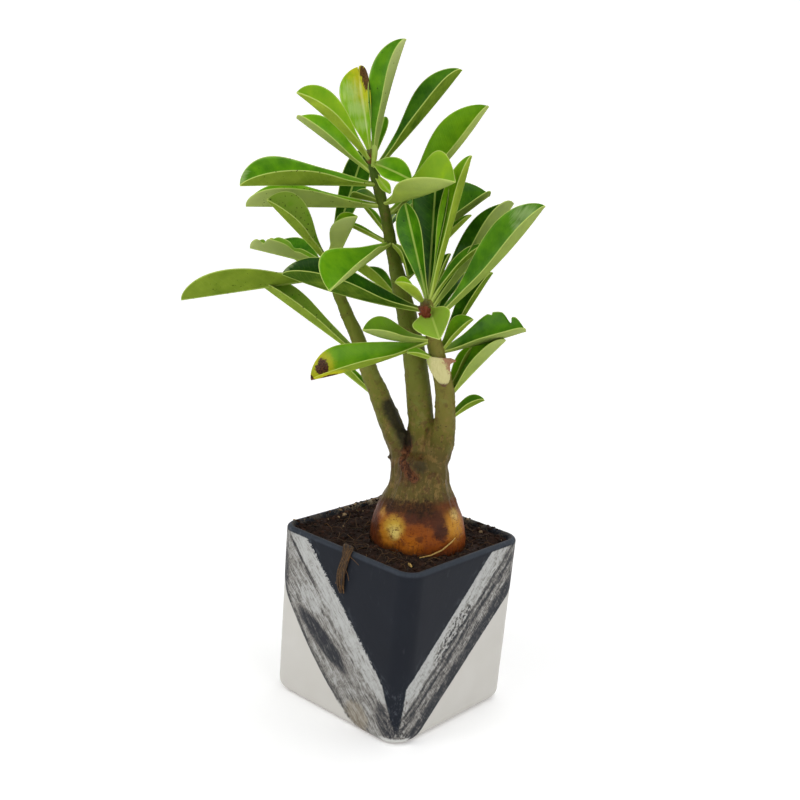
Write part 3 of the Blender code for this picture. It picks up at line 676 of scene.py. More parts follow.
def make_bark():
    """Golden skin on the base, a dark papery collar above it, then olive bark up the stems."""
    material, shade, shader = new_finish("desert_rose_bark", {
        "Specular IOR Level": 0.16, "Subsurface Weight": 0.04,
        "Subsurface Radius": (1.0, 0.4, 0.15), "Subsurface Scale": 0.002})
    grain = WoodGrain(shade)
    spot, x, z, ragged = grain.spot, grain.x, grain.z, grain.ragged
    lumps, fine, upright, level = grain.lumps, grain.fine, grain.upright, grain.level
    skin, cracks = golden_skin(grain)
    # The papery collar above the skin, weaker at the sides, and the browned neck above it
    collar_top = z + ragged * 0.9 - x * 0.16
    collar = (z + ragged * 1.2 - (x - 4) * 0.05).rise(104.5, 108.5) \
        * (collar_top + (upright - 0.5) * 9).rise(115.5, 110.5) \
        * (lumps + (level - 0.5) * 0.5).rise(0.30, 0.46) \
        * (shade.near(spot, (11.0, -12.0, 109.0), 19.0, ragged, 0.6) * 0.65 + 0.35)
    browned = shade.near(spot, (6.0, -8.0, 130.0), 12.0, ragged * 0.6, 0.35) \
        * (lumps + (fine - 0.5) * 0.5).rise(0.36, 0.50)
    # Torn brown bark where the stems part, the snag, and painted shade on the left stem's foot
    torn = shade.attribute("torn")
    snag = shade.near(spot, (-9.3, -5.6, 131.8), 2.6)
    shaded = 0.0
    for step in range(SHADED_PATCHES):
        centre = SHADED_FROM.lerp(SHADED_TO, step / (SHADED_PATCHES - 1))
        shaded = shade.maths("MAXIMUM", shaded,
                             shade.near(spot, tuple(centre), SHADED_REACH, ragged * 0.45, 0.35))
    # Painted shade in a hollow at the front right of the neck
    hollow_shade = shade.near(spot, (12.0, -4.5, 132.0), 5.0, ragged * 0.5, 0.3)
    # A pale bloom, dark dots and the scars of old leaves up the stems
    on_stem = z.rise(128.0, 150.0)
    bloom = shade.noise(spot, 9.0, 4.0, 0.6).rise(0.52, 0.70) * on_stem * (1 - shaded)
    dots = shade.noise(spot, 1.5, 1.0).rise(0.70, 0.76) * on_stem
    scar = shade.attribute("scar")
    ridged = fine * 0.5 + upright * 0.5
    tone = coats(
        skin, (collar_top.rise(108.5, 113.0), olive_bark(grain)),
        (collar * 0.92, (fine * 0.6 + upright * 0.4).rise(0.35, 0.7).blend(
            paint(22, 12, 6), paint(72, 44, 16))),
        (browned * 0.85, ridged.rise(0.35, 0.6).blend(paint(36, 20, 10), paint(84, 56, 28))),
        (torn.rise(0.15, 0.5), ridged.rise(0.4, 0.6).blend(paint(40, 20, 10), paint(108, 66, 38))),
        (torn.rise(0.70, 1.0) * 0.8, paint(24, 14, 8)), (snag * 0.8, paint(40, 26, 14)),
        (shaded * 0.92, lumps.rise(0.3, 0.7).blend(paint(22, 15, 9), paint(40, 38, 17))),
        (hollow_shade * 0.7, paint(48, 44, 22)), (bloom * 0.28, paint(122, 132, 70)),
        (dots * 0.7, paint(48, 36, 20)), (scar * 0.5, paint(116, 96, 52)),
        (scar.rise(0.75, 0.95), paint(52, 36, 20)))
    rough = 0.34 + fine * 0.2 + on_stem * 0.16 + collar * 0.2 + torn * 0.2
    relief = shade.bump(fine * 0.6 + upright * 0.5 + lumps * 0.8 - cracks * 0.3, 0.35)
    connect(shader, Base_Color=tone, Roughness=rough, Normal=relief)
    return material


def set_fact(piece, name, values):
    """Give each vertex of the piece a value that its material can read."""
    fact = piece.data.attributes.new(name, "FLOAT", "POINT")
    fact.data.foreach_set("value", values)


def find_scars(vertices):
    """How far the scars of old leaves move each vertex, and how scarred each one looks."""
    rng = random.Random(21)
    finder = kdtree.KDTree(len(vertices))
    for index, vertex in enumerate(vertices):
        finder.insert(vertex.co / MM, index)
    finder.balance()
    moves, scars = [0.0] * len(vertices), [0.0] * len(vertices)
    for controls in STEMS.values():
        route = smooth_route(controls, 1.0)
        turn = rng.uniform(0, 2 * math.pi)
        for scar in range(SCARS_PER_STEM):
            share = (scar + rng.uniform(0.1, 0.9)) / SCARS_PER_STEM
            turn += SPIRAL
            x, y, z, radius = route[int((SCARS_FROM + SCARS_OVER * share) * (len(route) - 1))]
            centre = Vector((x, y, z)) + outward(turn) * radius
            wide = min(SCAR_WIDEST, radius * 0.42)
            for co, index, _ in finder.find_range(centre, wide * 1.6):
                away = co - centre
                ring = math.hypot(away.x, away.y, away.z / SCAR_FLATNESS) / wide
                if ring < 1.5:           # a raised rim round a sunken middle
                    moves[index] += SCAR_RIM * math.exp(-((ring - 0.85) / 0.35) ** 2) \
                        - SCAR_SINK * math.exp(-(ring / 0.5) ** 2)
                    scars[index] = max(scars[index], 1 - ring / 1.4)
    return moves, scars


def make_trunk():
    """Base, neck, stems and snag, grown together on one grid and then given their bark."""
    bulb = []
    for x, y, z, radius in smooth_route(CAUDEX, ROUTE_SPACING):
        bulb.append([Vector((x + radius * caudex_swell(turn, z) * math.cos(turn),
                             y + radius * caudex_swell(turn, z) * math.sin(turn), z))
                     for turn in around(BULB_POINTS)])
    parts = [skin_rings(bulb)]
    parts += [skin_rings(tube_rings(smooth_route(controls, ROUTE_SPACING), STEM_POINTS))
              for controls in STEMS.values()]
    parts.append(skin_rings(tube_rings(SPUR, SPUR_POINTS)))
    trunk = make_piece("trunk", *join_meshes(parts), make_bark())
    merge = trunk.modifiers.new("Grow together", "REMESH")
    merge.mode = "VOXEL"
    merge.voxel_size = WOOD_VOXEL * MM
    merge.use_smooth_shade = True
    ease = trunk.modifiers.new("Ease", "SMOOTH")
    ease.factor = 0.5
    ease.iterations = 7
    keep_modifiers(trunk)
    mesh = trunk.data
    dents, scars = find_scars(mesh.vertices)
    normals = [vertex.normal.copy() for vertex in mesh.vertices]
    torn = []
    for vertex, normal, dent in zip(mesh.vertices, normals, dents):
        spot = vertex.co / MM
        deep, raw = tear_at(spot)
        torn.append(raw)
        vertex.co += normal * (wood_displacement(spot) + deep + dent) * MM
    set_fact(trunk, "scar", scars)
    set_fact(trunk, "torn", torn)
    mesh.shade_smooth()
    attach(trunk, "root")
    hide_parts("caudex", "stem_tall", "stem_left", "stem_right")


make_trunk()


# Compost
# Dark, coarse potting mix of peat, coir and bark crumbs that fills the pot to just below its
# lip, heaped a little against the far walls. Loose crumbs and fibres lie on it.

SOIL_TOP = 87.5
SEAT_GAP = 0.35                  # between the compost and what it touches
SOIL_ROWS = 34
SOIL_LUMPS = [  # how fine each kind of lump is, where in the noise it is read, and its height
    (0.11, 4.0, 1.6), (0.31, 9.0, 1.0), (0.75, 2.0, 0.9), (1.9, 5.0, 0.45),
]
SOIL_CROWN = 1.2                 # how far it is mounded between the wall and the base
HEAP_HEIGHT = 3.3
PIT_HEIGHTS = (SOIL_TOP, 80.0, 72.0, 64.0, 57.0, 52.0)   # down the pit that the base stands in
CRUMBS = 1700
SWEPT_SHARE, SWEPT_SPREAD = 0.22, 1.6                # of the crumbs against the far walls
RIM_CRUMBS = 110
CRUMB_LEAST, CRUMB_SPREAD = 0.35, 1.25               # smallest size, and how much more
PALE_FROM = 0.86                 # grains of this tone and more are pale
FIBRES = 150
FIBRE_POINTS, SPLINTER_POINTS = 5, 7                 # round a fibre, and round the two below
FIBRE_STEPS = 9
STRAW = [(25.5, -15.5, 89.2, 0.25), (28.2, -10.0, 90.0, 0.4), (30.2, -3.5, 92.0, 0.42),
         (31.2, 2.6, 95.4, 0.38), (31.4, 5.0, 97.2, 0.2)]          # leans on the base
CHIP = [(27.2, -26.2, 89.2, 0.3), (28.6, -27.0, 89.6, 0.75), (30.4, -28.0, 89.6, 0.7),
        (31.8, -28.6, 89.3, 0.25)]                                 # a pale chip of bark
DOWN = Vector((0, 0, -1))


def caudex_at(height):
    """The middle and the radius of the swollen base at a height."""
    for low, high in zip(CAUDEX, CAUDEX[1:]):
        if low[2] <= height <= high[2]:
            share = (height - low[2]) / (high[2] - low[2])
            return [a + (b - a) * share for a, b in zip(low, high)]
    raise ValueError("height is off the caudex")


def pit_ring(border, height):
    """Points on the base's skin, one towards each point of the border, with a seat gap."""
    x, y, _, radius = caudex_at(height)
    ring = []
    for point in border:
        turn = math.atan2(point.y - y, point.x - x)
        reach = radius * caudex_swell(turn, height) + SEAT_GAP
        ring.append(Vector((x + reach * math.cos(turn), y + reach * math.sin(turn), height)))
    return ring


def heap_rise(point):
    """How far the compost is pushed up against the two far walls."""
    wall = POT_HALF - POT_WALL
    return HEAP_HEIGHT * max(max(0.0, -point.x / wall) ** 6, max(0.0, point.y / wall) ** 6)


def soil_rise(point, share):
    """How far the surface is above its level by the wall: lumps, and heaps at the far walls."""
    lumps = sum(height * noise.noise(Vector((point.x, point.y, layer)) * fineness)
                for fineness, layer, height in SOIL_LUMPS)
    return lumps + heap_rise(point) + SOIL_CROWN * math.sin(math.pi * share)


def make_compost_finish():
    """Damp organic grains; a piece's tone sets how light each grain is."""
    material, shade, shader = new_finish("compost", {"IOR": 1.4, "Specular IOR Level": 0.3})
    spot, _, _, _ = shade.place()
    light = paint(64, 38, 24)
    grain = shade.noise(spot, 1.1, 5.0, 0.7)
    cloud = shade.noise(spot, 7.0, 3.0)
    tone = shade.attribute("tone")
    colour = (grain * 0.7 + cloud * 0.5 + tone * 0.5 - 0.35).rise(0.1, 0.9).blend(
        paint(18, 11, 8), light)
    colour = tone.rise(PALE_FROM, 0.97).blend(
        colour, grain.blend(light, paint(188, 164, 122)))
    connect(shader, Base_Color=colour, Roughness=0.72 + grain * 0.25,
            Normal=shade.bump(grain, 0.5))
    return material


def landing(surface, x, y):
    """Where something dropped at x and y lands on the compost, if it lands there at all."""
    landed = surface.ray_cast(Vector((x, y, 200)), DOWN)[0]
    return landed if landed and landed.z >= SOIL_TOP - 4 else None


def crumb_shapes():
    """A coarse and a finer round lump, as vertices and faces."""
    shapes = []
    for detail in (1, 2):
        ball = bmesh.new()
        bmesh.ops.create_icosphere(ball, subdivisions=detail, radius=1.0)
        shapes.append(([vertex.co.copy() for vertex in ball.verts],
                       [tuple(vertex.index for vertex in face.verts) for face in ball.faces]))
        ball.free()
    return shapes


def make_crumb(shape, centre, size, stretch, turn, seed, gnarl):
    """One of the round shapes, stretched, turned and roughened into a crumb."""
    ball, faces = shape
    return [centre + turn @ (co * stretch * size * (1 + gnarl * noise.noise(co * 1.6 + seed)))
            for co in ball], faces


def make_compost(finish):
    """The bed of compost, and the surface that crumbs and fibres land on."""
    _, _, inside = pot_stations()
    wall = [(half - SEAT_GAP, corner, height) for half, corner, height in reversed(inside)]
    wall[0] = (*wall[0][:2], POT_FLOOR + SEAT_GAP)
    wall[-1] = (*wall[-1][:2], SOIL_TOP)
    rings = [rounded_square(*station) for station in wall]
    border = rings[-1]
    mouth = pit_ring(border, SOIL_TOP)
    for point in border:
        point.z += heap_rise(point)
    for row in range(1, SOIL_ROWS):
        share = row / SOIL_ROWS
        ring = []
        for edge, inner in zip(border, mouth):
            point = edge.lerp(inner, share)
            settle = min(1.0, share * 12, (1 - share) * 8)
            heaped = heap_rise(point)
            point.z = SOIL_TOP + heaped + (soil_rise(point, share) - heaped) * settle
            ring.append(point)
        rings.append(ring)
    rings += [pit_ring(border, height) for height in PIT_HEIGHTS]
    vertices, faces = skin_rings(rings)
    compost = make_piece("compost", vertices, faces, finish)
    set_fact(compost, "tone", [0.3] * len(vertices))
    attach(compost, "root")
    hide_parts("soil")
    return BVHTree.FromPolygons(vertices, faces)


def make_crumbs(surface, rng, finish):
    """Loose crumbs: most lie anywhere, and some are swept against the two far walls."""
    shapes = crumb_shapes()
    parts, tones = [], []
    inner = POT_HALF - POT_WALL - 1.2
    while len(parts) < CRUMBS:
        x, y = rng.uniform(-inner, inner), rng.uniform(-inner, inner)
        swept = rng.random() < SWEPT_SHARE
        if swept:
            x = -inner + abs(rng.gauss(0, SWEPT_SPREAD)) if rng.random() < 0.6 else x
            y = inner - abs(rng.gauss(0, SWEPT_SPREAD)) if x > -inner + 5 else y
        landed = landing(surface, x, y)
        if landed is None:
            continue
        size = CRUMB_LEAST + CRUMB_SPREAD * rng.random() ** 3
        seed = Vector((rng.uniform(0, 90), rng.uniform(0, 90), rng.uniform(0, 90)))
        turn = Matrix.Rotation(rng.uniform(0, 6.28), 3, "Z") @ Matrix.Rotation(
            rng.uniform(-0.6, 0.6), 3, "X")
        stretch = Vector((1.0, rng.uniform(0.55, 0.95), rng.uniform(0.45, 0.8)))
        parts.append(make_crumb(shapes[size > 0.8], landed - DOWN * size * 0.25, size, stretch,
                                turn, seed, 0.45))
        tone = rng.random() ** 1.6 * 0.8
        if swept and rng.random() < 0.14 or rng.random() < 0.01:
            tone = rng.uniform(PALE_FROM, 1.0)
        tones += [tone] * len(parts[-1][0])
    # Crumbs and pale dust left on the lip above the two far walls, most on the left one
    while len(parts) < CRUMBS + RIM_CRUMBS:
        off = rng.triangular(-1.2, 2.0, 1.2)
        height = POT_TOP - LIP_RADIUS + math.sqrt(LIP_RADIUS ** 2 - min(off ** 2, 3.9))
        on_left = rng.random() < 0.6
        run = (POT_HALF - 9) * (1 - 2 * rng.random() ** (1.8 if on_left else 1.0))
        across = POT_HALF - LIP_RADIUS - off
        centre = Vector((-across, run, height) if on_left else (run, across, height))
        size = rng.uniform(0.25, 0.9)
        seed = Vector((rng.uniform(0, 90), rng.uniform(0, 90), 0))
        parts.append(make_crumb(shapes[0], centre, size, Vector((1.3, 1.3, 0.8)),
                                Matrix.Identity(3), seed, 0.4))
        pale = rng.random() < (0.55 if on_left else 0.15)
        tone = rng.uniform(PALE_FROM, 1.0) if pale else rng.uniform(0.0, 0.6)
        tones += [tone] * len(parts[-1][0])
    crumbs = make_piece("compost_crumbs", *join_meshes(parts), finish)
    set_fact(crumbs, "tone", tones)
    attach(crumbs, "root")


def make_fibre(start, heading, length, radius, bend, lift, surface):
    """A thin curved fibre that lies on the compost with its middle lifted."""
    points = []
    spot = Vector(start)
    for step in range(FIBRE_STEPS + 1):
        share = step / FIBRE_STEPS
        landed = landing(surface, spot.x, spot.y)
        ground = landed.z + radius if landed else spot.z
        points.append((spot.x, spot.y, ground + lift * math.sin(math.pi * share),
                       radius * (1 - 0.6 * share)))
        heading += bend / FIBRE_STEPS
        spot += outward(heading) * length / FIBRE_STEPS
    return skin_rings(tube_rings(points, FIBRE_POINTS))


def make_coir_finish():
    """Brown coconut fibre; a piece's tone sets how light each strand is."""
    material, shade, shader = new_finish("coir", {"IOR": 1.45})
    _, x, y, z = shade.place()
    grain = shade.noise(shade.point(x / 0.5, y / 0.5, z / 1.5), 1.0, 3.0)
    tone = shade.attribute("tone")
    colour = tone.blend(paint(24, 16, 9), paint(122, 84, 30))
    colour = tone.rise(0.85, 0.95).blend(colour, paint(206, 168, 92))
    colour = (grain.rise(0.4, 0.6) * 0.5).blend(colour, paint(52, 36, 20))
    connect(shader, Base_Color=colour, Roughness=0.6 + grain * 0.25,
            Normal=shade.bump(grain, 0.12))
    return material


def make_fibres(surface, rng, finish):
    """Fibres strewn over the compost, with the straw and the chip."""
    parts, tones = [], []
    inner = POT_HALF - POT_WALL - 2.0
    while len(parts) < FIBRES:
        landed = landing(surface, rng.uniform(-inner, inner), rng.uniform(-inner, inner))
        if landed is None:
            continue
        heading, length = rng.uniform(0, 2 * math.pi), rng.uniform(4, 15)
        end = landed + outward(heading) * length
        if max(abs(end.x), abs(end.y)) > inner:
            continue
        parts.append(make_fibre(landed, heading, length, rng.uniform(0.10, 0.24),
                                rng.uniform(-1.4, 1.4), rng.uniform(0.2, 2.0), surface))
        tones += [rng.random() ** 1.5 * 0.8] * len(parts[-1][0])
    for route, tone in ((STRAW, 0.92), (CHIP, 1.0)):
        parts.append(skin_rings(tube_rings(route, SPLINTER_POINTS)))
        tones += [tone] * len(parts[-1][0])
    fibres = make_piece("compost_fibres", *join_meshes(parts), finish)
    set_fact(fibres, "tone", tones)
    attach(fibres, "root")


compost_finish = make_compost_finish()
soil_surface = make_compost(compost_finish)
litter_rng = random.Random(5)
make_crumbs(soil_surface, litter_rng, compost_finish)
coir_finish = make_coir_finish()
make_fibres(soil_surface, litter_rng, coir_finish)


# Leaves
# Thick glossy leaves on short stalks, spoon-shaped and folded up along a pale rib, with a
# thin pale margin. They grow in a spiral, crowded at the stem tips; the young ones are
# yellow-green and the old ones dark, and their undersides are matt and paler.

BLADE_WAVE = 0.035               # how far the margin ripples, as a share of the blade's width
BLADE_RIPPLES = 9
BLADE_WIDEST = 0.72              # where the blade is widest, as a share of its length
BLADE_TAPER = 0.6                # less than 1 rounds its ends, more than 1 draws them out
STALK_HALF_WIDTH = 1.3
TIP_HALF_WIDTH = 0.5
BLADE_THICKNESS = 0.55
RIB_THICKNESS = 0.75             # extra depth under the rib at the stalk, which runs out
RIB_HALF_WIDTH, STALK_EXTRA = 0.7, 0.9               # the rib's, and how much wider the stalk is
STALK_SHARE = 0.3                # how far up the blade the stalk's thickness reaches
MARGIN_THINNING = 0.45
HEART_FROM = 0.8                 # where a heart-shaped tip starts to draw in
BLADE_FLARE = 0.05               # how far each half bellies out between rib and margin
LEAF_STATIONS = 54
LEAF_COLUMNS = 18
RIPPLE_SEED = 7

# Each leaf: height of its root on the stem, compass, rise, length, width if laid flat, roll
# about the rib, droop along it and fold of each half, all close to the model's; then how old
# it looks, from 0 for a yellow-green young leaf to 1 for a dark old one. The tall stem's last
# one is a bract beside its bud.
LEAVES = {
    "tall": [
        (281, 69, 78, 62, 24, 1, 11, 45, 0.60), (283, 158, 62, 50, 23, -59, 0, 38, 0.30),
        (282, -95, 31, 58, 21, -46, 12, 45, 0.15), (276, -172, 25, 56, 20, -5, 0, 40, 0.40),
        (271, -111, -3, 72, 29, -14, 3, 45, 0.60), (261, -141, -5, 69, 28, -3, 0, 45, 0.45),
        (278, 56, 52, 66, 24, 10, -7, 45, 0.76), (281, 121, 45, 32, 9, 6, 0, 45, 0.55),
        (281, -12, -9, 34, 15, 59, 27, 40, 0.50), (276, -7, -32, 15, 6, 48, 0, 40, 0.20),
        (262, -4, 18, 50, 39, 30, -14, 45, 0.20), (256, 75, 45, 82, 30, 4, -24, 45, 0.38),
        (232, 74, 34, 66, 38, 10, 0, 45, 0.70), (222, 79, 40, 56, 10, -12, 0, 45, 0.45),
        (242, -162, 16, 28, 5, -5, 0, 45, 0.45), (246, -179, 34, 22, 6, 7, 0, 45, 0.45),
        (263, -170, 1, 18, 11, -11, 0, 45, 0.80), (243, -14, -40, 23, 13, -11, 41, 45, 0.60),
        (243, -72, -15, 68, 31, 4, 0, 45, 0.50), (215, 174, 15, 38, 17, 14, 0, 45, 0.60),
        (258, 100, -5, 55, 24, 0, 8, 42, 0.75), (250, 128, 2, 56, 26, 0, 8, 42, 0.85),
        (277, -58, 74, 13, 4, 0, -30, 45, 0.15),
    ],
    "left": [
        (223, -127, -12, 78, 31, 10, 0, 45, 0.60), (182, -142, 31, 68, 19, -13, 0, 45, 0.55),
        (229, -89, 35, 56, 25, -53, 0, 45, 0.55), (228, -158, 5, 46, 21, 2, 0, 45, 0.60),
        (231, 108, 59, 64, 18, 28, 0, 40, 0.90), (227, -20, 49, 38, 19, 53, 0, 65, 0.35),
        (161, -169, 24, 34, 10, 13, 0, 45, 0.55), (222, 150, -10, 50, 22, 0, 8, 42, 0.70),
        (217, 175, 14, 58, 24, 0, 10, 42, 0.75),
    ],
    "right": [
        (208, 39, 51, 79, 29, 23, -20, 45, 0.62), (213, 85, 44, 76, 28, -25, -9, 45, 0.80),
        (216, 67, 46, 43, 10, 2, 32, 45, 0.70), (217, 133, 68, 75, 23, -25, 0, 35, 0.95),
        (218, 179, 66, 50, 15, -67, 0, 35, 0.70), (213, -135, 10, 74, 31, -13, -15, 45, 0.95),
        (199, -117, -18, 66, 27, -18, -16, 45, 0.45), (199, -112, 7, 40, 20, -20, -34, 45, 0.50),
        (188, -104, 14, 20, 7, -21, 0, 45, 0.30), (216, -38, -19, 32, 23, 31, 0, 35, 0.42),
        (216, -103, 30, 24, 12, -18, 0, 45, 0.15), (216, 95, 59, 29, 9, -22, 0, 45, 0.65),
        (213, 96, 35, 46, 14, -11, 0, 45, 0.70), (218, 80, 75, 74, 18, -16, -3, 45, 0.35),
        (192, 60, 14, 49, 28, 15, -10, 45, 0.65), (190, 86, 49, 54, 17, -14, 0, 45, 0.80),
        (167, 48, 50, 43, 22, 4, 5, 45, 0.60), (155, 47, 34, 23, 11, 9, 16, 45, 0.65),
        (191, 48, 49, 25, 15, 19, 0, 45, 0.45), (170, 85, 50, 31, 13, -24, 0, 45, 0.45),
        (205, 120, 22, 54, 24, 0, 8, 42, 0.80),
    ],
}

# What is particular to a leaf, by stem and number: dead patches and whitish painted
# highlights, each as (share along, side from -1 to 1, reach); notches cut in a margin, each as
# (share along, side, depth, breadth), where a depth below 0 is a bulge; how far a heart-shaped
# tip is drawn in; how pale the underside is; how thickly the blade is spotted with black; and
# how dull and olive a tired one has gone.
QUIRKS = {
    "tall": {
        0: {"pale": 0.9, "spots": 0.2},
        1: {"dead": [(0.79, -0.9, 10.5), (0.92, -0.5, 4.0)], "heart": 5.0,
            "painted_highlights": [(0.74, 0.45, 9.0), (0.55, 0.3, 9.0), (0.38, 0.3, 6.0)]},
        3: {"pale": 0.6},
        4: {"painted_highlights": [(0.97, -0.8, 5.0)], "spots": 0.3},
        5: {"pale": 0.6, "spots": 0.3},
        7: {"pale": 0.6},
        8: {"pale": 0.7},
        10: {"pale": 0.5, "tired": 0.35},
        11: {"pale": 0.5},
        12: {"pale": 0.2, "spots": 0.3},
        18: {"pale": 0.5},
        22: {"pale": 1.0},
    },
    "left": {
        0: {"spots": 0.25, "tired": 0.4},
        1: {"pale": 0.1, "spots": 0.35, "tired": 0.8},
        2: {"spots": 0.55, "tired": 0.8},
        3: {"notches": [(0.80, 1, 0.38, 0.05), (0.42, 1, 0.30, 0.05), (0.84, -1, 0.45, 0.05),
                        (0.50, -1, 0.25, 0.06)], "pale": 0.8, "tired": 0.4},
        4: {"pale": 0.6},
        5: {"pale": 0.7},
    },
    "right": {
        0: {"painted_highlights": [(0.88, 0.5, 8.0), (0.80, 0.3, 5.0)], "pale": 0.4},
        1: {"pale": 0.4},
        4: {"spots": 0.3},
        5: {"painted_highlights": [(0.98, -0.9, 4.0)]},
        6: {"dead": [(0.87, 0.25, 5.5), (0.89, -0.5, 5.0), (1.0, 0.1, 2.5)]},
        7: {"pale": 0.5, "tired": 0.3},
        9: {"pale": 0.9, "tired": 0.75},
        14: {"notches": [(0.70, 1, 0.12, 0.014), (0.88, 1, 0.50, 0.024), (0.97, 1, -0.30, 0.03)],
             "pale": 0.5},
        16: {"pale": 0.55},
    },
}


def blade_half_width(share, width):
    """Half the width of a spoon-shaped blade, at a share of its length from the root."""
    skew = math.log(0.5) / math.log(BLADE_WIDEST)
    swell = math.sin(math.pi * share ** skew) ** BLADE_TAPER if 0 < share < 1 else 0.0
    core = STALK_HALF_WIDTH * (1 - share) + TIP_HALF_WIDTH * share
    return math.hypot(width / 2 * swell, core)


def blade_arc(share, length, droop):
    """Where the rib is at a share of its length: distance out, lift, and its lean."""
    lean = droop * (0.5 - share)
    if not droop:
        return length * share, 0.0, lean
    radius = length / droop
    return (radius * (math.sin(droop / 2) - math.sin(lean)),
            radius * (math.cos(lean) - math.cos(droop / 2)), lean)


# What a leaf's finish works from at each vertex: how far it is from the root, the rib and the
# margin, whether it is on the upper face, its age, and what is particular to it
LEAF_FACTS = ("along", "rib", "margin", "face", "age", "spots", "dead", "pale", "sheen", "tired")


def patch_at(patches, share, side, length, half):
    """1.3 at the middle of a patch on a blade, 0.3 at its edge and less outside it."""
    inside = [1.3 - math.hypot((share - at) * length, (side - where) * half) / reach
              for at, where, reach in patches]
    return max(inside, default=-1.0)


def make_blade(root, leaf, phase, quirks):
    """One leaf's vertices, faces and, for each vertex, the facts its finish works from."""
    _, compass, rise, length, width, roll, droop, fold, age = leaf
    fold, droop = math.radians(fold), math.radians(droop)
    place = Matrix.Translation(root) \
        @ Matrix.Rotation(math.radians(compass), 4, "Z") \
        @ Matrix.Rotation(-math.radians(rise), 4, "Y") \
        @ Matrix.Rotation(math.radians(roll), 4, "X")
    rings, facts = [], []
    for station in range(LEAF_STATIONS + 1):
        share = math.sin(math.pi / 2 * station / LEAF_STATIONS)
        out, lift, lean = blade_arc(share, length, droop)
        up = Vector((-math.sin(lean), 0, math.cos(lean)))
        ahead = Vector((math.cos(lean), 0, math.sin(lean)))
        half = blade_half_width(share, width)
        fade = min(1.0, 3 * share) * (1 - share)
        wave = BLADE_WAVE * width * fade * math.sin(BLADE_RIPPLES * share + phase)
        stalk = max(0.0, 1 - share / STALK_SHARE)
        top, under, top_facts, under_facts = [], [], [], []
        for column in range(LEAF_COLUMNS + 1):
            side = 2 * column / LEAF_COLUMNS - 1
            reach = abs(side)
            sign = 1 if side >= 0 else -1
            slope = fold * min(1.0, 0.25 + 6 * reach)       # rounded where the halves meet
            wide = half * reach
            for at, towards, depth, breadth in quirks.get("notches", ()):
                if towards == sign:
                    wide *= 1 - depth * reach ** 2 * math.exp(-((share - at) / breadth) ** 2)
            belly = BLADE_FLARE * half * math.sin(math.pi * reach)
            across = wide * math.cos(fold) + belly * math.sin(fold)
            raised = wide * math.sin(fold) - belly * math.cos(fold) + side * wave * reach ** 0.5
            pull = quirks.get("heart", 0.0) * (1 - reach) ** 2 \
                * max(0.0, (share - HEART_FROM) / (1 - HEART_FROM)) ** 2
            centre = Vector((out, 0, lift)) - ahead * pull
            point = centre + Vector((0, sign * across, 0)) + up * raised
            normal = Vector((0, -sign * math.sin(slope), 0)) + up * math.cos(slope)
            keel = math.exp(-(wide / (RIB_HALF_WIDTH + STALK_EXTRA * stalk)) ** 2)
            depth = BLADE_THICKNESS * (1 - MARGIN_THINNING * reach ** 3) \
                + RIB_THICKNESS * keel * (1.25 - share)
            top.append(place @ point)
            under.append(place @ (point - normal * depth))
            row = (share * length, wide, half * (1 - reach), age, quirks.get("spots", 0.06),
                   patch_at(quirks.get("dead", ()), share, side, length, half),
                   quirks.get("pale", 0.03) * (0.35 + 0.65 * share ** 2),
                   patch_at(quirks.get("painted_highlights", ()), share, side, length, half),
                   quirks.get("tired", 0.0))
            top_facts.append((*row[:3], 1.0, *row[3:]))
            under_facts.append((*row[:3], 0.0, *row[3:]))
        rings.append(top + under[::-1])
        facts += top_facts + under_facts[::-1]
    vertices, faces = skin_rings(rings)
    return vertices, [face[::-1] for face in faces], facts


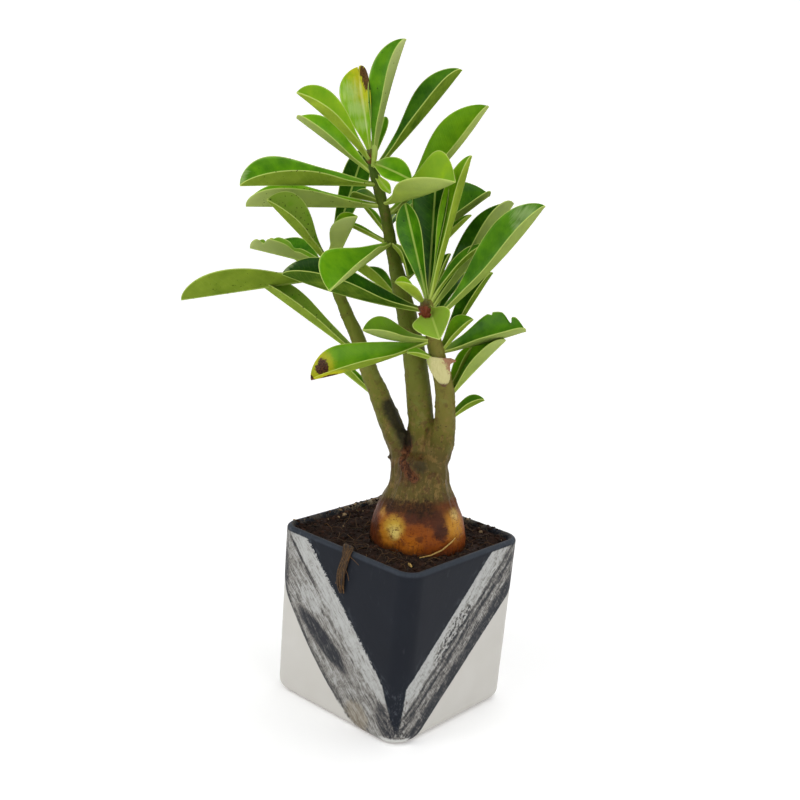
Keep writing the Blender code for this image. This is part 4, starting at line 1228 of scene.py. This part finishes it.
def make_leaf_finish():
    """Glossy green above, matt below, with pale rib, veins and margin, damage and painted
    highlights.
    """
    material, shade, shader = new_finish("desert_rose_leaf", {
        "Specular IOR Level": 0.0, "Subsurface Weight": 0.06,
        "Subsurface Radius": (0.35, 0.8, 0.08), "Subsurface Scale": 0.0012,
        "Coat Roughness": 0.28})
    spot, _, _, _ = shade.place()
    along, rib, margin, face, age, spots, dead, pale, sheen, tired = (
        shade.attribute("leaf_" + name) for name in LEAF_FACTS)
    cloud = shade.noise(spot, 9.0, 3.0)
    fine = shade.noise(spot, 0.7, 3.0, 0.6)
    # Veins leave the rib every few millimetres and lean towards the tip
    lines = (along - rib * 0.75 + (shade.noise(spot, 5.0, 1.0) - 0.5) * 2.2) / 3.4
    vein = abs(shade.maths("FRACT", lines) - 0.5).rise(0.10, 0.0) * rib.rise(0.5, 1.5) \
        * margin.rise(0.6, 2.5)
    look = age + (cloud - 0.5) * 0.7
    upper = coats(look.ramp((0.0, paint(150, 186, 30)), (0.3, paint(118, 166, 20)),
                            (0.55, paint(88, 142, 14)), (0.8, paint(54, 104, 10)),
                            (1.0, paint(34, 74, 8))),
                  (tired * cloud.rise(0.2, 0.5), paint(136, 160, 60)),
                  (vein * 0.09, paint(120, 160, 40)))
    under = coats(look.ramp((0.0, paint(160, 182, 54)), (0.4, paint(126, 148, 44)),
                            (0.7, paint(104, 128, 34)), (1.0, paint(54, 84, 14))),
                  (pale, paint(180, 190, 124)), (vein * 0.07, paint(170, 182, 90)))
    specks = shade.noise(spot, 1.35, 1.0).rise(0.735 - spots * 0.10, 0.775 - spots * 0.10)
    rot = dead + (cloud - 0.5) * 0.4 + (fine - 0.5) * 0.3 \
        + (shade.noise(spot, 2.6, 3.0, 0.65) - 0.5) * 0.9
    # Painted highlights: whitish streaks over the upper face where a leaf has them
    streaks = shade.noise(shade.point(along * 0.12, rib * 0.9, age * 9.0), 1.0, 3.0, 0.6)
    painted_shine = (sheen + (streaks - 0.5) * 1.6).rise(0.3, 1.3) * face
    colour = coats(
        under, (face.rise(0.35, 0.65), upper),
        ((fine - 0.5).rise(0.05, 0.35) * 0.25, paint(108, 146, 20)),
        (along.rise(16.0, 2.0) * 0.6, paint(150, 168, 66)),             # the stalk
        (rib.rise(0.75, 0.35) * 0.75, paint(166, 188, 88)),
        (margin.rise(0.50, 0.22) * 0.75, paint(182, 198, 104)),
        (specks * spots.rise(0.0, 0.3) * 0.85, paint(34, 34, 14)),
        (rot.rise(-0.5, 0.4) * 0.85, paint(190, 186, 36)),              # yellow round the dead
        (rot.rise(0.50, 0.66), fine.rise(0.3, 0.75).blend(paint(38, 22, 16), paint(112, 72, 46))),
        (painted_shine * 0.38, paint(200, 218, 150)))
    rough = 0.56 - face * 0.24 + fine * 0.08 + rot.rise(0.5, 0.7) * 0.2
    relief = shade.bump(vein * 0.2 + cloud * 0.5 + fine * 0.10, 0.28)
    connect(shader, Base_Color=colour, Roughness=rough, Coat_Weight=face * 0.22 + painted_shine * 0.3,
            Normal=relief)
    return material


def make_foliage(name, finish):
    """All the leaves of one stem, joined in one piece."""
    rng = random.Random(RIPPLE_SEED + len(name))
    route = smooth_route(STEMS[name], 1.0)
    parts, facts = [], []
    for number, leaf in enumerate(LEAVES[name]):
        phase = rng.uniform(0, 2 * math.pi)
        root = min(route, key=lambda point: abs(point[2] - leaf[0]))
        vertices, faces, leaf_facts = make_blade(Vector(root[:3]), leaf, phase,
                                                 QUIRKS[name].get(number, {}))
        parts.append((vertices, faces))
        facts += leaf_facts
    foliage = make_piece("leaves_" + name, *join_meshes(parts), finish)
    for fact, values in zip(LEAF_FACTS, zip(*facts)):
        set_fact(foliage, "leaf_" + fact, values)
    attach(foliage, "root")
    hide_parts("stem_" + name)


# Small buds of tight scales, each scale a short blade, stand among the youngest leaves

BUD_SCALES = 9
SCALE_LENGTH, SCALE_WIDTH, SCALE_SPACING = 4.2, 3.6, 0.25
BUDS = [  # middle of the foot, the compass and rise it leans at, its size, and how green it is
    ((-29.0, -15.4, 281.5), (-60, 62), 0.8, 1.0),
    ((11.2, -12.0, 212.6), (-62, 60), 0.85, 0.8),
    ((16.6, -17.6, 210.4), (-56, 60), 0.85, 0.2),
]


def make_bud_finish():
    """Waxy scales, red-brown at the foot and olive at the point."""
    material, shade, shader = new_finish("bud_scale", {"Specular IOR Level": 0.3})
    spot, _, _, _ = shade.place()
    along = shade.attribute("leaf_along")
    fine = shade.noise(spot, 0.6, 3.0)
    colour = (along + (fine - 0.5) * 2).rise(0.8, 4.2).blend(paint(116, 50, 24),
                                                           paint(96, 98, 40))
    colour = (fine.rise(0.55, 0.7) * 0.5).blend(colour, paint(58, 34, 20))
    connect(shader, Base_Color=colour, Roughness=0.45 + fine * 0.2,
            Normal=shade.bump(fine, 0.1))
    return material


def make_buds():
    """Tight buds of small scales at the stem tips."""
    rng = random.Random(17)
    parts, along = [], []
    for foot, (compass, rise), size, greenness in BUDS:
        lean = outward(math.radians(compass)) * math.cos(math.radians(rise)) \
            - DOWN * math.sin(math.radians(rise))
        for scale in range(BUD_SCALES):
            turn = compass + math.degrees(SPIRAL) * scale
            climb = min(86, 30 + 5.5 * scale + rng.uniform(-5, 5))
            leaf = (0, turn, climb, (SCALE_LENGTH + 0.3 * scale) * size, SCALE_WIDTH * size,
                    0, -40, 55, 0.3)
            root = Vector(foot) + lean * SCALE_SPACING * scale
            vertices, faces, facts = make_blade(root, leaf, 0.0, {})
            parts.append((vertices, faces))
            along += [row[0] * greenness for row in facts]
    buds = make_piece("buds", *join_meshes(parts), make_bud_finish())
    set_fact(buds, "leaf_along", along)
    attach(buds, "root")


leaf_finish = make_leaf_finish()
for stem_name in STEMS:
    make_foliage(stem_name, leaf_finish)
make_buds()


# Withered leaf base
# The dry papery foot of a fallen leaf that still clings to the front of the right stem. It is
# cream, with its upper corner rotted brown, and its sides curl back round the stem.

WITHERED_OUTLINE = [  # height, left edge, right edge, measured across the stem
    (175.6, -0.8, 0.8), (178.5, -3.0, 3.2), (182.0, -5.0, 4.6), (185.5, -5.8, 5.2),
    (187.4, -6.0, 6.0), (189.0, -5.6, 9.2), (190.4, -4.8, 6.6),
]
WITHERED_OUT = outward(math.radians(-49.7))      # from the stem towards the base
WITHERED_ACROSS = Vector((-WITHERED_OUT.y, WITHERED_OUT.x, 0))
WITHERED_THICKNESS = 0.9
WITHERED_STAND = 0.55            # how far it stands off the stem
WITHERED_BOW = 0.03              # how much its sides curl back, per millimetre of width
WITHERED_COLUMNS = 22


def make_withered_finish():
    """Cream papery fibres, greenish at one side and rotted brown at the upper corner."""
    material, shade, shader = new_finish("dry_leaf_base", {"IOR": 1.4})
    spot, x, y, z = shade.place()
    across = x * WITHERED_ACROSS.x + y * WITHERED_ACROSS.y
    fibre_lines = shade.noise(shade.point(x / 0.7, y / 0.7, z / 5.0), 1.0, 4.0, 0.65)
    fine = shade.noise(spot, 1.2, 3.0)
    cream = fibre_lines.blend(paint(176, 168, 104), paint(212, 206, 152))
    greenish = (across - 4.2 + (fine - 0.5) * 4).rise(3.2, -0.4)
    cream = (greenish * 0.7).blend(cream, paint(148, 168, 66))
    rotten = (z * 0.7 + across - 143.0 + (fine - 0.5) * 7).rise(0.0, 3.0)
    colour = rotten.blend(cream, fine.blend(paint(112, 70, 46), paint(176, 134, 100)))
    colour = (z + (fine - 0.5) * 2).rise(178.0, 176.5).blend(colour, paint(92, 66, 40))
    connect(shader, Base_Color=colour, Roughness=0.62 + fine * 0.2,
            Normal=shade.bump(fibre_lines, 0.35))
    return material


def make_withered_leaf():
    """A crumpled plate laid against the stem, row by row from its foot."""
    route = smooth_route(STEMS["right"], 1.0)
    rings = []
    for height, left, right in smooth_route(WITHERED_OUTLINE, 0.5):
        x, y, _, radius = min(route, key=lambda point: abs(point[2] - height))
        ring = []
        for lift in (0.0, WITHERED_THICKNESS):
            row = []
            for column in range(WITHERED_COLUMNS + 1):
                share = column / WITHERED_COLUMNS
                reach = left + (right - left) * share
                crumple = 0.35 * noise.noise(Vector((reach * 0.5, height * 0.3, 1.0)))
                thin = 1 - 0.5 * abs(2 * share - 1) ** 3
                stand = radius + WITHERED_STAND + crumple + lift * thin \
                    - WITHERED_BOW * reach ** 2
                row.append(Vector((x, y, height)) + WITHERED_ACROSS * reach
                           + WITHERED_OUT * stand)
            ring.extend(row if lift else row[::-1])
        rings.append(ring)
    withered = make_piece("dry_leaf_base", *skin_rings(rings), make_withered_finish())
    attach(withered, "root")
    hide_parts("withered_leaf")


make_withered_leaf()


# Coir strand
# A wisp of coconut fibres from the potting mix that has fallen over the lip and hangs down
# the front, a flat bundle of many thin fibres with a few that stray.

STRAND_ROUTE = [  # x, how far outside the wall, height above the rim, half width
    (-5.0, -9.5, -1.8, 1.4), (-2.0, -6.3, -0.2, 2.0), (1.0, -3.6, 1.2, 2.9),
    (2.8, -1.4, 1.2, 3.2), (3.8, 0.5, -0.1, 2.7), (3.9, 1.0, -2.7, 2.1),
    (2.7, 1.0, -7.0, 2.3), (1.3, 1.0, -13.0, 2.5), (1.7, 1.0, -19.0, 2.2),
    (2.9, 1.0, -22.5, 1.2),
]
STRAND_FIBRES = 80
STRAND_POINTS = 6
STRAYS = [  # x, y, height and radius along the fibres that stray from it
    [(4.6, -46.6, 91.6, 0.14), (9.0, -46.9, 90.4, 0.14), (12.8, -46.8, 88.7, 0.14)],
    [(4.0, -47.1, 84.0, 0.14), (6.2, -47.4, 82.0, 0.14), (7.0, -46.9, 78.5, 0.14)],
    [(2.0, -47.0, 80.0, 0.14), (-0.6, -47.3, 77.5, 0.14), (-1.6, -47.0, 74.0, 0.14)],
]


def make_coir_strand(finish):
    """The bundle along its route, each fibre a share of its length, and the strays."""
    rng = random.Random(11)
    route = smooth_route(STRAND_ROUTE, 1.2)
    parts, tones = [], []
    for _ in range(STRAND_FIBRES):
        side, depth = rng.uniform(-1, 1), rng.uniform(-0.4, 0.4)
        start = rng.randrange(0, len(route) // 3)
        end = rng.randrange(len(route) * 2 // 3, len(route) + 1)
        drift, phase = rng.uniform(-0.5, 0.5), rng.uniform(0, 6.28)
        points = []
        for index in range(start, end):
            x, outside, above, half = route[index]
            sway = side + drift * math.sin(index * 0.35 + phase)
            points.append((x + half * max(-1.0, min(1.0, sway)),
                           -POT_HALF - outside + depth * 0.8, POT_TOP + above + depth * 0.4,
                           0.20 + 0.10 * rng.random()))
        parts.append(skin_rings(tube_rings(points, STRAND_POINTS)))
        tones += [rng.random() ** 2 * 0.8] * len(parts[-1][0])
    for stray in STRAYS:
        parts.append(skin_rings(tube_rings(smooth_route(stray, 1.0), FIBRE_POINTS)))
        tones += [0.7] * len(parts[-1][0])
    wisp = make_piece("coir_wisp", *join_meshes(parts), finish)
    set_fact(wisp, "tone", tones)
    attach(wisp, "root")
    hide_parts("coir_strand")


make_coir_strand(coir_finish)


# Studio
# A seamless pale sheet under and behind the plant, big soft lamps above and on both sides,
# and a camera that looks down on the pot's front corner.

SHEET_RINGS = 32
SHEET_SPACING = 90.0
SHEET_POINTS = 64
SHEET_FLAT = 1500.0              # how far out the sheet lies flat before it curves up
SHEET_CURVE = 0.0016
SHEET_DROP = 0.05                # below the pot's foot
CAMERA_SPOT = Vector((370.8, -449.4, 307.1)) * MM
CAMERA_AZIMUTH, CAMERA_ELEVATION, CAMERA_ROLL = (
    math.radians(angle) for angle in (40.245, 13.857, 4.964))
CAMERA_LENS = 52.434
LAMPS = [  # name, place and aim in metres, width and power
    ("key", (-0.35, -1.15, 1.05), (0, 0, 0.15), 0.9, 9),
    ("fill", (1.25, -0.25, 0.75), (0, 0, 0.15), 1.0, 5),
    ("top", (0.0, 0.25, 1.5), (0, 0, 0.1), 1.2, 11),
]
SKY_STRENGTH = 0.12


def make_backdrop():
    """The sheet glows most behind the plant, and more dimly all round."""
    material, shade, shader = new_finish("pale_sheet", {
        "Roughness": 0.9, "Specular IOR Level": 0.0, "Emission Strength": 0.42})
    spot, x, y, z = shade.place()
    behind = y * math.cos(CAMERA_AZIMUTH) - x * math.sin(CAMERA_AZIMUTH)
    all_round = z.rise(2.0, 900.0).blend(grey(0.55), grey(0.22))
    connect(shader, Emission_Color=behind.rise(400.0, 1500.0).blend(all_round, grey(1.0)),
            Base_Color=shade.noise(spot, 300.0, 2.0).blend(paint(234, 234, 234),
                                                           paint(240, 240, 240)))
    rings = []
    for step in range(1, SHEET_RINGS + 1):
        reach = SHEET_SPACING * step
        climb = SHEET_CURVE * max(0.0, reach - SHEET_FLAT) ** 2 - SHEET_DROP
        rings.append([outward(turn) * reach - DOWN * climb for turn in around(SHEET_POINTS)])
    vertices, faces = skin_rings(rings)
    make_piece("backdrop", vertices, faces[:-1], material)     # open at the top


def make_lamp(name, spot, target, size, power):
    """A soft round lamp that faces its target."""
    lamp = bpy.data.lights.new(name, "AREA")
    lamp.shape = "DISK"
    lamp.size = size
    lamp.energy = power
    holder = bpy.data.objects.new(name, lamp)
    bpy.context.scene.collection.objects.link(holder)
    holder.location = Vector(spot)
    holder.rotation_euler = (Vector(target) - Vector(spot)).to_track_quat("-Z", "Y").to_euler()


def make_camera():
    """A camera turned round the pot, tipped down, and rolled a little."""
    azimuth, elevation, roll = CAMERA_AZIMUTH, CAMERA_ELEVATION, CAMERA_ROLL
    back = Vector((math.sin(azimuth) * math.cos(elevation),
                   -math.cos(azimuth) * math.cos(elevation), math.sin(elevation)))
    level = outward(azimuth)
    above = back.cross(level)
    right = math.cos(roll) * level + math.sin(roll) * above
    up = math.cos(roll) * above - math.sin(roll) * level
    camera = bpy.data.cameras.new("camera")
    camera.sensor_width = 36
    camera.lens = CAMERA_LENS
    camera.clip_start, camera.clip_end = 0.01, 20
    holder = bpy.data.objects.new("camera", camera)
    bpy.context.scene.collection.objects.link(holder)
    turn = Matrix((right, up, back)).transposed().to_4x4()
    holder.matrix_world = Matrix.Translation(CAMERA_SPOT) @ turn
    bpy.context.scene.camera = holder


make_backdrop()
for lamp_values in LAMPS:
    make_lamp(*lamp_values)
world = bpy.data.worlds.new("studio")
world.use_nodes = True
sky = world.node_tree.nodes["Background"]
sky.inputs["Color"].default_value = grey(1.0)
sky.inputs["Strength"].default_value = SKY_STRENGTH
bpy.context.scene.world = world
bpy.context.scene.view_settings.view_transform = "Standard"
make_camera()
